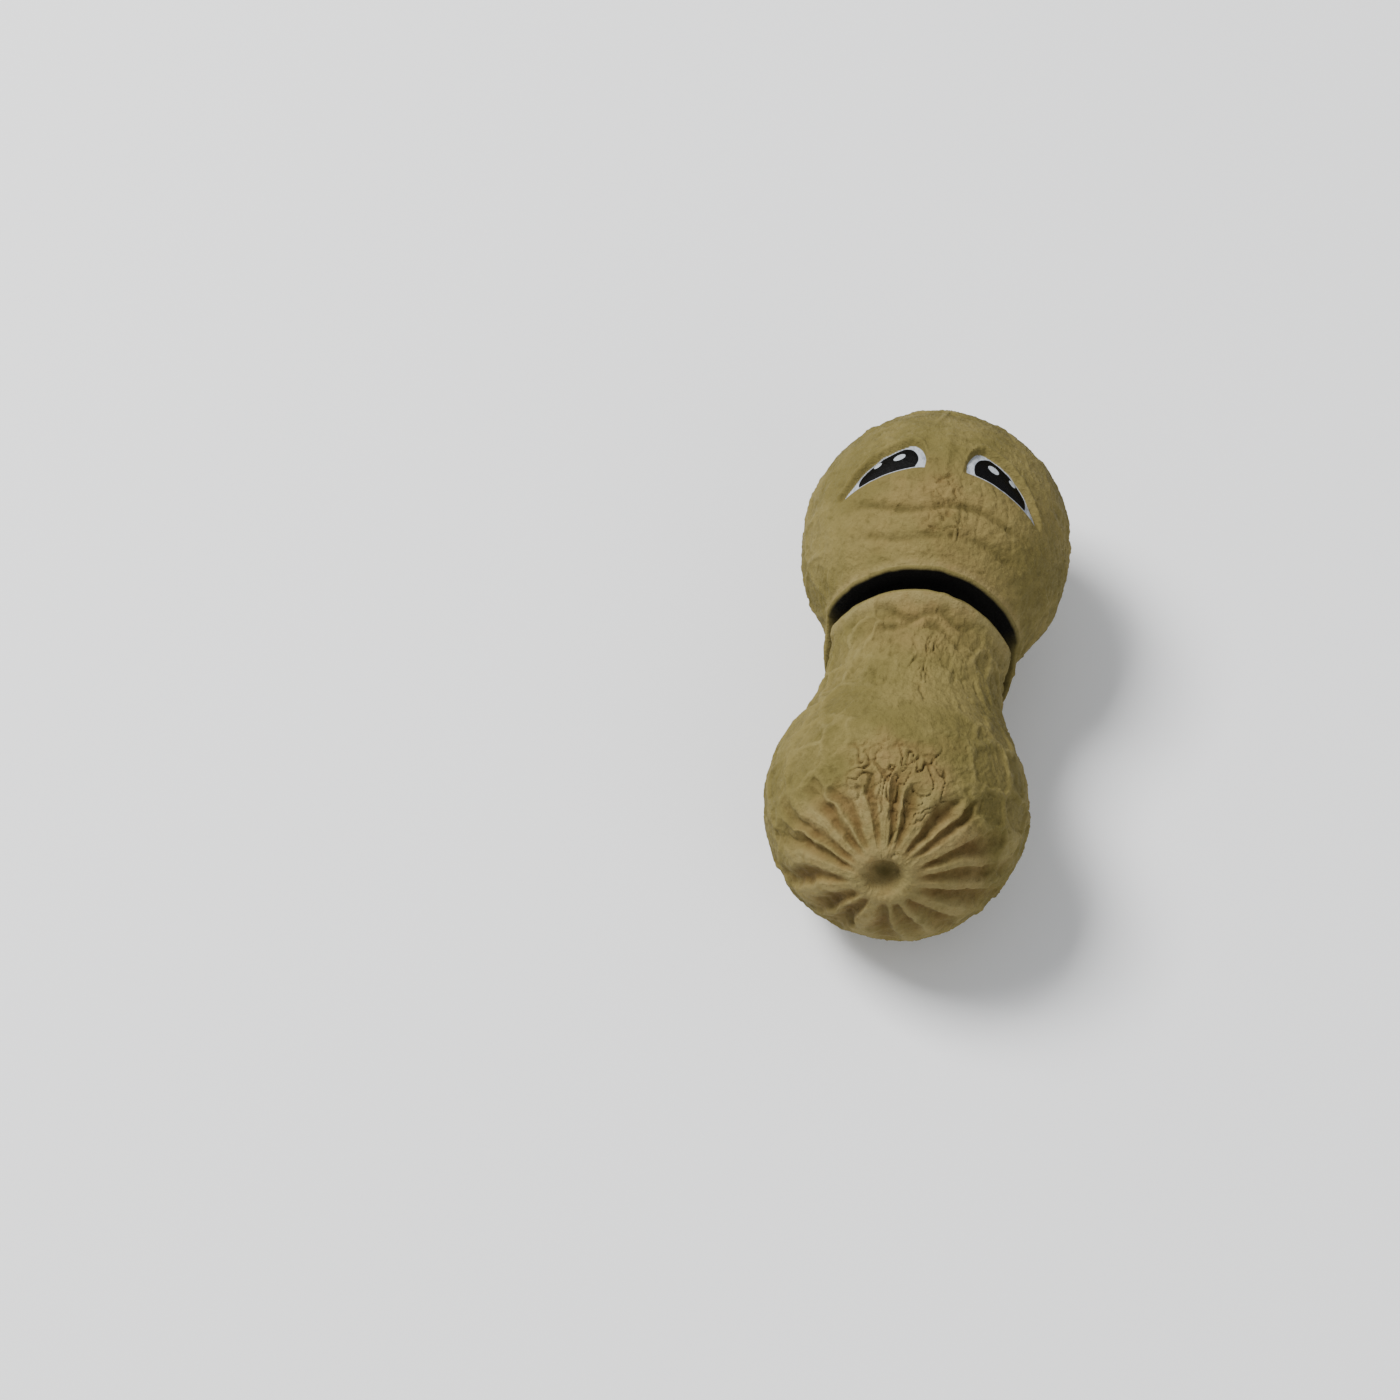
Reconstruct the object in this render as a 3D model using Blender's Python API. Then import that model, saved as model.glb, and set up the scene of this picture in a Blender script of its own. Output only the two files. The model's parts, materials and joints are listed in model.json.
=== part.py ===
"""A novelty figure in the shape of a peanut in its shell, lying on its back.

Two pieces: the head, with a tongue that runs down behind the neck, and the body, whose neck carries the
head on a peg. The long axis is Y, with the head at +Y, and the face looks up, along +Z. The figure rests
on two flat spots at z = 0, one under each lobe, and X and Y are zero at the middle of its box.
"""

import math

import bmesh
import bpy
from mathutils import Vector

# Driving dimensions, in metres
HEAD_RADIUS = 0.0100
BODY_RADIUS = 0.0095
LOBE_SPACING = 0.0225
WAIST_RADIUS = 0.0065
FLAT_DEPTH = 0.00028

# Fullness of the head below its middle: nearly a ball at the sides and back, squarer in front
HEAD_SIDE_POWER = 2.0
HEAD_FRONT_POWER = 2.5
HEAD_SIDE_REACH = 1.05 * HEAD_RADIUS
HEAD_FRONT_REACH = 1.1 * HEAD_RADIUS

# Neck and slit, as plain shares of the head's radius
WAIST_FROM_HEAD = 0.0117
LIP_FLARE = 0.1 * HEAD_RADIUS
SLIT_FRONT_FROM_HEAD = 0.8 * HEAD_RADIUS
SLIT_END_DROP = 0.1 * HEAD_RADIUS
SLIT_CORE_DROP = 0.22 * HEAD_RADIUS
TONGUE_DROP = 0.3 * HEAD_RADIUS
TONGUE_THICKNESS = 0.05 * HEAD_RADIUS
TONGUE_BLEND = 0.07 * HEAD_RADIUS
SLIT_GAP = 0.08 * HEAD_RADIUS
SEAM_GAP = 0.00044
LIP_ROUNDING = 0.0003
LOBE_END_ANGLE = math.radians(121.0)

# Peg of the body and its socket in the head
PEG_RADIUS = 0.0042
PEG_LENGTH = 0.0050
PEG_CLEARANCE = 0.0003
PEG_CHAMFER = 0.0005

# Star of grooves round the dimple on the near end, which looks up a little
STAR_TILT = math.radians(30.0)
STAR_TILT_INNER_ANGLE = math.radians(25.0)
STAR_TILT_OUTER_ANGLE = math.radians(110.0)
GROOVES = 18
GROOVE_DEPTH = 0.00035
GROOVE_INNER_ANGLE = math.radians(18.0)
GROOVE_FADE_ANGLE = math.radians(40.0)
GROOVE_OUTER_ANGLE = math.radians(48.0)
DIMPLE_DEPTH = 0.0008
DIMPLE_ANGLE = math.radians(10.0)

# Eye recesses, which stand on the head's widest ring: angles round the head from the middle of the face,
# and heights along Y
EYE_INNER_ANGLE = math.radians(8.0)
EYE_OUTER_ANGLE = math.radians(48.0)
EYE_HEIGHT = 0.3 * HEAD_RADIUS
EYE_DROOP = 0.2 * HEAD_RADIUS
EYE_DROOP_POWER = 1.5
EYE_INNER_ROUNDING = 0.25
EYE_OUTER_POWER = 2.5
EYE_LEAST_HEIGHT = 0.12 * EYE_HEIGHT
EYE_DEPTH_UPPER = 0.06 * HEAD_RADIUS
EYE_DEPTH_LOWER = 0.015 * HEAD_RADIUS
EYE_CUTTER_RISE = 0.0012

# Angles where the slit thins and turns into the seam, and where the seam reaches the tongue's tip
SLIT_THINNING_ANGLE = math.radians(60.0)
SLIT_THIN_ANGLE = math.radians(90.0)
SLIT_END_ANGLE = math.radians(75.0)
TONGUE_ANGLE = math.radians(120.0)

# Fineness of the mesh
COLUMNS = 72
CAP_ROWS = 9
SIDE_ROWS = 9
LOBE_ROWS = 16
NECK_ROWS = 8
INNER_ROWS = 4
EYE_STEPS = 12
EYE_ROWS = 3
SHARP_ANGLE = math.radians(50.0)
LIP_TURNS = (math.radians(45.0), math.radians(90.0))

# Colours (linear) and finish of the paint
PAINT_COLOUR = (0.29, 0.235, 0.095)
PAINT_ROUGHNESS = 0.85

# Places that follow from the dimensions
LENGTH = HEAD_RADIUS + LOBE_SPACING + BODY_RADIUS
HEAD_Y = LENGTH / 2 - HEAD_RADIUS
BODY_Y = HEAD_Y - LOBE_SPACING
HEAD_Z = HEAD_RADIUS - FLAT_DEPTH
BODY_Z = BODY_RADIUS - FLAT_DEPTH
WAIST_Y = HEAD_Y - WAIST_FROM_HEAD
SLIT_Y = HEAD_Y - SLIT_FRONT_FROM_HEAD
PEG_TOP_Y = SLIT_Y + PEG_LENGTH


def smooth_step(low, high, value):
    """0 at or below low, 1 at or above high, with level ends."""
    share = min(max((value - low) / (high - low), 0.0), 1.0)
    return share * share * (3.0 - 2.0 * share)


def axis_z(y):
    """Height of the long axis, which falls a little from the head to the smaller body lobe."""
    share = min(max((y - BODY_Y) / LOBE_SPACING, 0.0), 1.0)
    return BODY_Z + (HEAD_Z - BODY_Z) * share


def ring_point(y, radius, angle):
    """A point round the long axis, at an angle from the face side (+Z) towards +X."""
    return Vector((radius * math.sin(angle), y, axis_z(y) + radius * math.cos(angle)))


def face_angle(angle):
    """Unsigned angle from the middle of the face, which looks straight up."""
    return abs((angle + math.pi) % math.tau - math.pi)


def seam_y(angle):
    """Middle of the slit and of the seam it turns into."""
    around = face_angle(angle)
    droop = SLIT_END_DROP * smooth_step(0.0, SLIT_END_ANGLE, around)
    share = min(max((around - SLIT_END_ANGLE) / (TONGUE_ANGLE - SLIT_END_ANGLE), 0.0), 1.0)
    return SLIT_Y - droop - TONGUE_DROP * math.sin(share * math.pi / 2)


def seam_gap(angle):
    """Width of the slit along Y, which thins to the seam past its ends."""
    closing = smooth_step(SLIT_THINNING_ANGLE, SLIT_THIN_ANGLE, face_angle(angle))
    return SLIT_GAP + (SEAM_GAP - SLIT_GAP) * closing


def seam_surface_y(radius, angle):
    """The surface half way between the two pieces, inside the neck. It lies lower at the peg than at the
    slit, so that nobody looks through the slit from one side to the other."""
    share = min(max((radius - PEG_RADIUS) / (WAIST_RADIUS - PEG_RADIUS), 0.0), 1.0)
    core_y = SLIT_Y - SLIT_CORE_DROP
    return core_y + (seam_y(angle) - core_y) * share


def neck_radius(y):
    """Outer radius of the neck: a waist that flares a little towards the slit, and runs into the lobe."""
    if y >= WAIST_Y:
        rise = min((y - WAIST_Y) / (SLIT_Y - WAIST_Y), 1.0)
        return WAIST_RADIUS + LIP_FLARE * rise * rise
    start_y = BODY_Y - BODY_RADIUS * math.cos(LOBE_END_ANGLE)
    start_radius = BODY_RADIUS * math.sin(LOBE_END_ANGLE)
    start_slope = math.cos(LOBE_END_ANGLE) / math.sin(LOBE_END_ANGLE)
    span = WAIST_Y - start_y
    t = min(max((y - start_y) / span, 0.0), 1.0)
    falling = 2 * t**3 - 3 * t**2 + 1
    leaving = t**3 - 2 * t**2 + t
    return falling * start_radius + leaving * span * start_slope + (1.0 - falling) * WAIST_RADIUS


def head_radius(y, angle):
    """Outer radius of the head: a ball that is full at the front of the slit and runs into the tongue."""
    rise = y - HEAD_Y
    if rise > 0.0:
        return math.sqrt(max(HEAD_RADIUS**2 - rise**2, 0.0))
    front = 0.5 + 0.5 * math.cos(face_angle(angle))
    power = HEAD_SIDE_POWER + (HEAD_FRONT_POWER - HEAD_SIDE_POWER) * front
    reach = HEAD_SIDE_REACH + (HEAD_FRONT_REACH - HEAD_SIDE_REACH) * front
    ball = HEAD_RADIUS * max(1.0 - (-rise / reach) ** power, 0.0) ** (1.0 / power)
    tongue = neck_radius(min(y, WAIST_Y)) + TONGUE_THICKNESS
    blend = TONGUE_BLEND * smooth_step(0.0, HEAD_RADIUS / 2, -rise)
    return 0.5 * (ball + tongue + math.hypot(ball - tongue, blend))


def settle(point):
    """Flattens what would lie below the surface the figure rests on."""
    return Vector((point.x, point.y, max(point.z, 0.0)))


def ring(make_point):
    """One ring of points round the figure; make_point takes the angle."""
    return [settle(make_point(math.tau * column / COLUMNS)) for column in range(COLUMNS)]


def add_ringed_object(name, start_pole, rings, end_pole, material):
    """A closed mesh from a pole through the rings to the other pole."""
    mesh_builder = bmesh.new()
    first = mesh_builder.verts.new(settle(start_pole))
    rows = [[mesh_builder.verts.new(point) for point in points] for points in rings]
    last = mesh_builder.verts.new(settle(end_pole))
    for column in range(COLUMNS):
        following = (column + 1) % COLUMNS
        mesh_builder.faces.new((first, rows[0][following], rows[0][column]))
        for upper, lower in zip(rows, rows[1:]):
            quad = (upper[column], upper[following], lower[following], lower[column])
            mesh_builder.faces.new(quad)
        mesh_builder.faces.new((rows[-1][column], rows[-1][following], last))
    bmesh.ops.triangulate(mesh_builder, faces=mesh_builder.faces[:])
    bmesh.ops.recalc_face_normals(mesh_builder, faces=mesh_builder.faces[:])
    mesh = bpy.data.meshes.new(name)
    mesh_builder.to_mesh(mesh)
    mesh_builder.free()
    mesh.materials.append(material)
    mesh.shade_smooth()
    mesh.set_sharp_from_angle(angle=SHARP_ANGLE)
    piece = bpy.data.objects.new(name, mesh)
    bpy.context.scene.collection.objects.link(piece)
    return piece


def painted_shell(name):
    """The matte olive-tan paint."""
    material = bpy.data.materials.new(name)
    material.use_nodes = True
    shader = material.node_tree.nodes["Principled BSDF"]
    shader.inputs["Base Color"].default_value = (*PAINT_COLOUR, 1.0)
    shader.inputs["Roughness"].default_value = PAINT_ROUGHNESS
    shader.inputs["Metallic"].default_value = 0.0
    return material


def head_rings():
    """Rings from the crown down to the slit, over the lip and up into the socket."""
    rings = []
    for row in range(1, CAP_ROWS + 1):
        polar = math.pi / 2 * row / CAP_ROWS
        y = HEAD_Y + HEAD_RADIUS * math.cos(polar)
        radius = HEAD_RADIUS * math.sin(polar)
        rings.append(ring(lambda a: ring_point(y, radius, a)))

    def lip_y(angle):
        return seam_y(angle) + seam_gap(angle) / 2

    def side_point(angle, share):
        end_y = lip_y(angle) + LIP_ROUNDING
        y = HEAD_Y + (end_y - HEAD_Y) * share
        return ring_point(y, head_radius(y, angle), angle)

    for row in range(1, SIDE_ROWS + 1):
        rings.append(ring(lambda a: side_point(a, row / SIDE_ROWS)))

    def lip_point(angle, turn):
        edge_radius = head_radius(lip_y(angle) + LIP_ROUNDING, angle)
        y = lip_y(angle) + LIP_ROUNDING * (1.0 - math.sin(turn))
        return ring_point(y, edge_radius - LIP_ROUNDING * (1.0 - math.cos(turn)), angle)

    for turn in LIP_TURNS:
        rings.append(ring(lambda a: lip_point(a, turn)))

    socket_radius = PEG_RADIUS + PEG_CLEARANCE

    def roof_point(angle, share):
        edge_radius = head_radius(lip_y(angle) + LIP_ROUNDING, angle) - LIP_ROUNDING
        radius = edge_radius + (socket_radius - edge_radius) * share
        return ring_point(seam_surface_y(radius, angle) + seam_gap(angle) / 2, radius, angle)

    for row in range(1, INNER_ROWS + 1):
        rings.append(ring(lambda a: roof_point(a, row / INNER_ROWS)))
    ceiling_y = PEG_TOP_Y + PEG_CLEARANCE
    rings.append(ring(lambda a: ring_point(ceiling_y, socket_radius, a)))
    rings.append(ring(lambda a: ring_point(ceiling_y, socket_radius / 2, a)))
    return rings, Vector((0.0, ceiling_y, axis_z(ceiling_y)))


def star_relief(polar, angle):
    """How far the surface sinks at the dimple and in the grooves round it."""
    dimple = DIMPLE_DEPTH * (1.0 - smooth_step(0.0, DIMPLE_ANGLE, polar))
    opening = smooth_step(DIMPLE_ANGLE, GROOVE_INNER_ANGLE, polar)
    ending = 1.0 - smooth_step(GROOVE_FADE_ANGLE, GROOVE_OUTER_ANGLE, polar)
    wave = 0.5 + 0.5 * math.cos(GROOVES * angle)
    return dimple + GROOVE_DEPTH * opening * ending * wave


def lobe_point(polar, angle):
    """A point of the body lobe. The rings tilt up at the near end, so that the star looks up a little."""
    tilt = STAR_TILT * (1.0 - smooth_step(STAR_TILT_INNER_ANGLE, STAR_TILT_OUTER_ANGLE, polar))
    outward = Vector((0.0, -math.cos(tilt), math.sin(tilt)))
    upward = Vector((0.0, math.sin(tilt), math.cos(tilt)))
    sideways = Vector((1.0, 0.0, 0.0))
    around = upward * math.cos(angle) + sideways * math.sin(angle)
    direction = outward * math.cos(polar) + around * math.sin(polar)
    centre = Vector((0.0, BODY_Y, BODY_Z))
    return centre + direction * (BODY_RADIUS - star_relief(polar, angle))


def body_rings():
    """Rings from the dimple over the lobe and the neck, over the lower lip and along the peg."""
    rings = []
    for row in range(1, LOBE_ROWS + 1):
        polar = LOBE_END_ANGLE * row / LOBE_ROWS
        rings.append(ring(lambda a: lobe_point(polar, a)))
    neck_start_y = BODY_Y - BODY_RADIUS * math.cos(LOBE_END_ANGLE)

    def lip_y(angle):
        return seam_y(angle) - seam_gap(angle) / 2

    def neck_point(angle, share):
        end_y = lip_y(angle) - LIP_ROUNDING
        y = neck_start_y + (end_y - neck_start_y) * share
        return ring_point(y, neck_radius(y), angle)

    for row in range(1, NECK_ROWS + 1):
        rings.append(ring(lambda a: neck_point(a, row / NECK_ROWS)))

    def lip_point(angle, turn):
        edge_radius = neck_radius(lip_y(angle) - LIP_ROUNDING)
        y = lip_y(angle) - LIP_ROUNDING * (1.0 - math.sin(turn))
        return ring_point(y, edge_radius - LIP_ROUNDING * (1.0 - math.cos(turn)), angle)

    for turn in LIP_TURNS:
        rings.append(ring(lambda a: lip_point(a, turn)))

    def floor_point(angle, share):
        edge_radius = neck_radius(lip_y(angle) - LIP_ROUNDING) - LIP_ROUNDING
        radius = edge_radius + (PEG_RADIUS - edge_radius) * share
        return ring_point(seam_surface_y(radius, angle) - seam_gap(angle) / 2, radius, angle)

    for row in range(1, INNER_ROWS + 1):
        rings.append(ring(lambda a: floor_point(a, row / INNER_ROWS)))
    rings.append(ring(lambda a: ring_point(PEG_TOP_Y - PEG_CHAMFER, PEG_RADIUS, a)))
    rings.append(ring(lambda a: ring_point(PEG_TOP_Y, PEG_RADIUS - PEG_CHAMFER, a)))
    return rings, Vector((0.0, PEG_TOP_Y, axis_z(PEG_TOP_Y)))


def eye_edge_y(share, upper):
    """Height of the eye's lower or upper edge at a share of its width, from the inner to the outer end."""
    base = HEAD_Y - EYE_DROOP * share**EYE_DROOP_POWER
    if not upper:
        return base
    from_rounding = 1.0 - min(share / EYE_INNER_ROUNDING, 1.0)
    bulge = math.sqrt(1.0 - from_rounding**2) * (1.0 - share**EYE_OUTER_POWER)
    return base + EYE_LEAST_HEIGHT + (EYE_HEIGHT - EYE_LEAST_HEIGHT) * bulge


def eye_cutter(name, side):
    """A closed block with the eye's outline, from just inside the head's surface to outside it."""
    builder = bmesh.new()

    def layer(rise_at):
        rows = []
        for row in range(EYE_ROWS + 1):
            points = []
            for step in range(EYE_STEPS + 1):
                share = step / EYE_STEPS
                low = eye_edge_y(share, upper=False)
                high = eye_edge_y(share, upper=True)
                y = low + (high - low) * row / EYE_ROWS
                span = EYE_INNER_ANGLE + (EYE_OUTER_ANGLE - EYE_INNER_ANGLE) * share
                angle = side * span
                radius = head_radius(y, angle) + rise_at(row / EYE_ROWS)
                points.append(builder.verts.new(ring_point(y, radius, angle)))
            rows.append(points)
        return rows

    floor = layer(lambda height: -EYE_DEPTH_LOWER - (EYE_DEPTH_UPPER - EYE_DEPTH_LOWER) * height)
    top = layer(lambda height: EYE_CUTTER_RISE)
    for rows in (floor, top):
        for lower, upper in zip(rows, rows[1:]):
            for step in range(EYE_STEPS):
                builder.faces.new((lower[step], lower[step + 1], upper[step + 1], upper[step]))
    borders = [(floor[0], top[0]), (floor[-1], top[-1])]
    borders += [([row[end] for row in floor], [row[end] for row in top]) for end in (0, -1)]
    for inner, outer in borders:
        for step in range(len(inner) - 1):
            builder.faces.new((inner[step], inner[step + 1], outer[step + 1], outer[step]))
    bmesh.ops.recalc_face_normals(builder, faces=builder.faces[:])
    mesh = bpy.data.meshes.new(name)
    builder.to_mesh(mesh)
    builder.free()
    cutter = bpy.data.objects.new(name, mesh)
    cutter.hide_render = True
    cutter.display_type = "WIRE"
    bpy.context.scene.collection.objects.link(cutter)
    return cutter


def cut_eye(head, cutter):
    """Sinks one eye recess into the head."""
    cut = head.modifiers.new(cutter.name, "BOOLEAN")
    cut.operation = "DIFFERENCE"
    cut.solver = "EXACT"
    cut.object = cutter


def main():
    for old in list(bpy.data.objects):
        bpy.data.objects.remove(old, do_unlink=True)

    rings, socket_pole = head_rings()
    crown = Vector((0.0, HEAD_Y + HEAD_RADIUS, HEAD_Z))
    head = add_ringed_object("head", crown, rings, socket_pole, painted_shell("painted_head"))
    for name, side in (("left_eye_cutter", -1.0), ("right_eye_cutter", 1.0)):
        cut_eye(head, eye_cutter(name, side))

    rings, peg_pole = body_rings()
    dimple = lobe_point(0.0, 0.0)
    add_ringed_object("body", dimple, rings, peg_pole, painted_shell("painted_body"))


main()
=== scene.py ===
"""Looks of a novelty figure in the shape of a peanut in its shell, lying on its back.

The long axis is Y, with the head at +Y, and the face looks up, along +Z. Two pieces stand for the two CAD
nodes: the head, with its painted eyes and the tongue behind the neck, and the body, with its star of
grooves. Each is a fine mesh of rings round the long axis, and a Geometry Nodes tree adds the shell's net
of low ribs, its lumps and its stucco. Lengths are in metres.
"""

from __future__ import annotations

import json
import logging
import math
from dataclasses import dataclass, fields
from enum import Enum
from typing import ClassVar

import bmesh
import bpy
import numpy as np
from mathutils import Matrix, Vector


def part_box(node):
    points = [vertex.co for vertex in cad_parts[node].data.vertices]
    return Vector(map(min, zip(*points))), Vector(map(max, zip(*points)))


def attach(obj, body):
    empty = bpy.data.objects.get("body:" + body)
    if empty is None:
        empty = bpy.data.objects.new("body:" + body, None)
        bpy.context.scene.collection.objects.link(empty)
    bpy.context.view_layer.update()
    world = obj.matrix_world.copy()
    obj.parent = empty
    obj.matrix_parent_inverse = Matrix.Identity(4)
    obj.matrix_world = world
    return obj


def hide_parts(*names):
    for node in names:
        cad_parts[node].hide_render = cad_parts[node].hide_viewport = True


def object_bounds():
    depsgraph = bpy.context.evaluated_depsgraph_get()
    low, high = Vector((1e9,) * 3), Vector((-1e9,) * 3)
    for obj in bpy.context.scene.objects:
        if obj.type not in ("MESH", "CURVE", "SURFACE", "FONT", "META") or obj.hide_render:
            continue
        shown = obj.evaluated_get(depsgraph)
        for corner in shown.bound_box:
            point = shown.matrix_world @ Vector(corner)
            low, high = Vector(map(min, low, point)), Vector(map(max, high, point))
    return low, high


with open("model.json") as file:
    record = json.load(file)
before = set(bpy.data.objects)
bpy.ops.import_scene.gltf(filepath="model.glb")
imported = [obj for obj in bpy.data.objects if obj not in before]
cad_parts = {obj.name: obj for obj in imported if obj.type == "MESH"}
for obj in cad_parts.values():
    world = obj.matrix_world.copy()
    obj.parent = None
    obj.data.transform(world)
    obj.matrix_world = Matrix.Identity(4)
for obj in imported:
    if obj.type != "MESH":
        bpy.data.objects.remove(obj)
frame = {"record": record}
CAD_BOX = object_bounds()

MM = 0.001
Field = np.ndarray
Span = tuple[float, float]
Triple = tuple[float, float, float]
Socket = bpy.types.NodeSocket
LOG = logging.getLogger("peanut_figure")


class Slot(Enum):
    """The record's material slots."""

    HEAD = "painted_head"
    BODY = "painted_body"


class Mark(Enum):
    """Per-point values that the finishes and the relief tree read."""

    # painted shade in creases, wrinkles, grooves, the dimple and inside the slit
    SUNK = "sunk"
    # rust tint of the crumpled patches, and red-brown painted shade in the star's grooves
    RUSTY = "rusty"
    # painted highlights on the star's ridges and on the lips' raised rims
    WORN = "highlit"
    # a warmer tint of the muzzle and the patches, and painted light on the body's top, the neck's top and
    # the lip rims
    WARM = "warm"
    SLIT = "slit"
    NET = "net"
    GRAINY = "grainy"
    RISE = "rise"
    EYE = "eye"
    PUPIL = "pupil"
    GLINT = "glint"


PAINTED = (Mark.EYE, Mark.PUPIL, Mark.GLINT)


def smooth_step(low: float, high: float, value: Field | float) -> Field | float:
    """Rises from 0 to 1 with level ends.

    Args:
        low: Where the rise starts.
        high: Where it ends; below low for a fall.
        value: The places to read it at.

    Returns:
        The share at each place.
    """
    share = np.clip((value - low) / (high - low), 0.0, 1.0)
    return share * share * (3.0 - 2.0 * share)


def hump(value: Field | float, width: float) -> Field | float:
    """A soft bump of height 1 at 0, about as wide each way as width."""
    return np.exp(-((value / width) ** 2))


def wrapped(angle: Field) -> Field:
    """The angle brought between minus and plus half a turn."""
    return (angle + math.pi) % math.tau - math.pi


@dataclass(frozen=True)
class LumpyNoise:
    """Smooth random values in space, the same on every run."""

    seed: int = 11
    axis_factors: tuple[int, int, int] = (374761393, 668265263, 2147483647)
    seed_factor: int = 974634777
    mixing_factor: int = 1274126177
    mixing_bits: int = 13
    value_bits: int = 16

    def _corner(self, x: Field, y: Field, z: Field) -> Field:
        """Scrambles the corners of the lattice.

        Args:
            x: Whole numbers that say where each corner lies along X.
            y: The same along Y.
            z: The same along Z.

        Returns:
            A value from 0 to 1 for each corner.
        """
        by_x, by_y, by_z = self.axis_factors
        mixed = x * by_x + y * by_y + z * by_z + self.seed * self.seed_factor
        mixed = (mixed ^ (mixed >> self.mixing_bits)) * self.mixing_factor
        mixed = mixed ^ (mixed >> self.value_bits)
        highest = 2**self.value_bits - 1
        return (mixed & highest) / highest

    def at(self, points: Field, size: float, shift: float = 0.0) -> Field:
        """Reads the noise.

        Args:
            points: Places, one row each.
            size: Width of one lump.
            shift: Moves the pattern, for an unlike copy.

        Returns:
            Values from -1 to 1.
        """
        scaled = points / size + shift
        base = np.floor(scaled).astype(np.int64)
        part = scaled - base
        part = part * part * part * (part * (part * 6.0 - 15.0) + 10.0)
        total = np.zeros(len(points))
        for dx in (0, 1):
            for dy in (0, 1):
                for dz in (0, 1):
                    weight = (
                        np.abs(1 - dx - part[:, 0])
                        * np.abs(1 - dy - part[:, 1])
                        * np.abs(1 - dz - part[:, 2])
                    )
                    corner = self._corner(base[:, 0] + dx, base[:, 1] + dy, base[:, 2] + dz)
                    total += weight * corner
        return total * 2.0 - 1.0


NOISE = LumpyNoise()


@dataclass(frozen=True)
class Ripple:
    """One layer of noise: its height, the width of its lumps, and the shift that picks its pattern.

    The methods take a scale, which makes the lumps that many times as wide, and a further shift.
    """

    height: float
    width: float
    shift: float

    def plain(self, points: Field, scale: float = 1.0, shift: float = 0.0) -> Field:
        """The layer's noise at each place, from -1 to 1."""
        return NOISE.at(points, self.width * scale, self.shift + shift)

    def at(self, points: Field, scale: float = 1.0, shift: float = 0.0) -> Field:
        """The layer at each place, from minus its height to its height."""
        return self.height * self.plain(points, scale, shift)

    def lines(self, points: Field, sharpness: float, scale: float = 1.0, shift: float = 0.0) -> Field:
        """Lines of the layer's height where its noise crosses 0, the thinner the sharper."""
        return self.height * np.exp(-sharpness * np.abs(self.plain(points, scale, shift)))

    def pushes(self, points: Field, scale: float = 1.0, shift: float = 0.0) -> Field:
        """A push of the layer's height along X, Y and Z, each with a pattern of its own."""
        rows = [self.at(points, scale, shift + axis * self.shift) for axis in range(3)]
        return np.stack(rows, axis=1)


def rippled(points: Field, ripples: tuple[Ripple, ...]) -> Field:
    """Several layers of noise added up."""
    return sum(ripple.at(points) for ripple in ripples)


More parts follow.
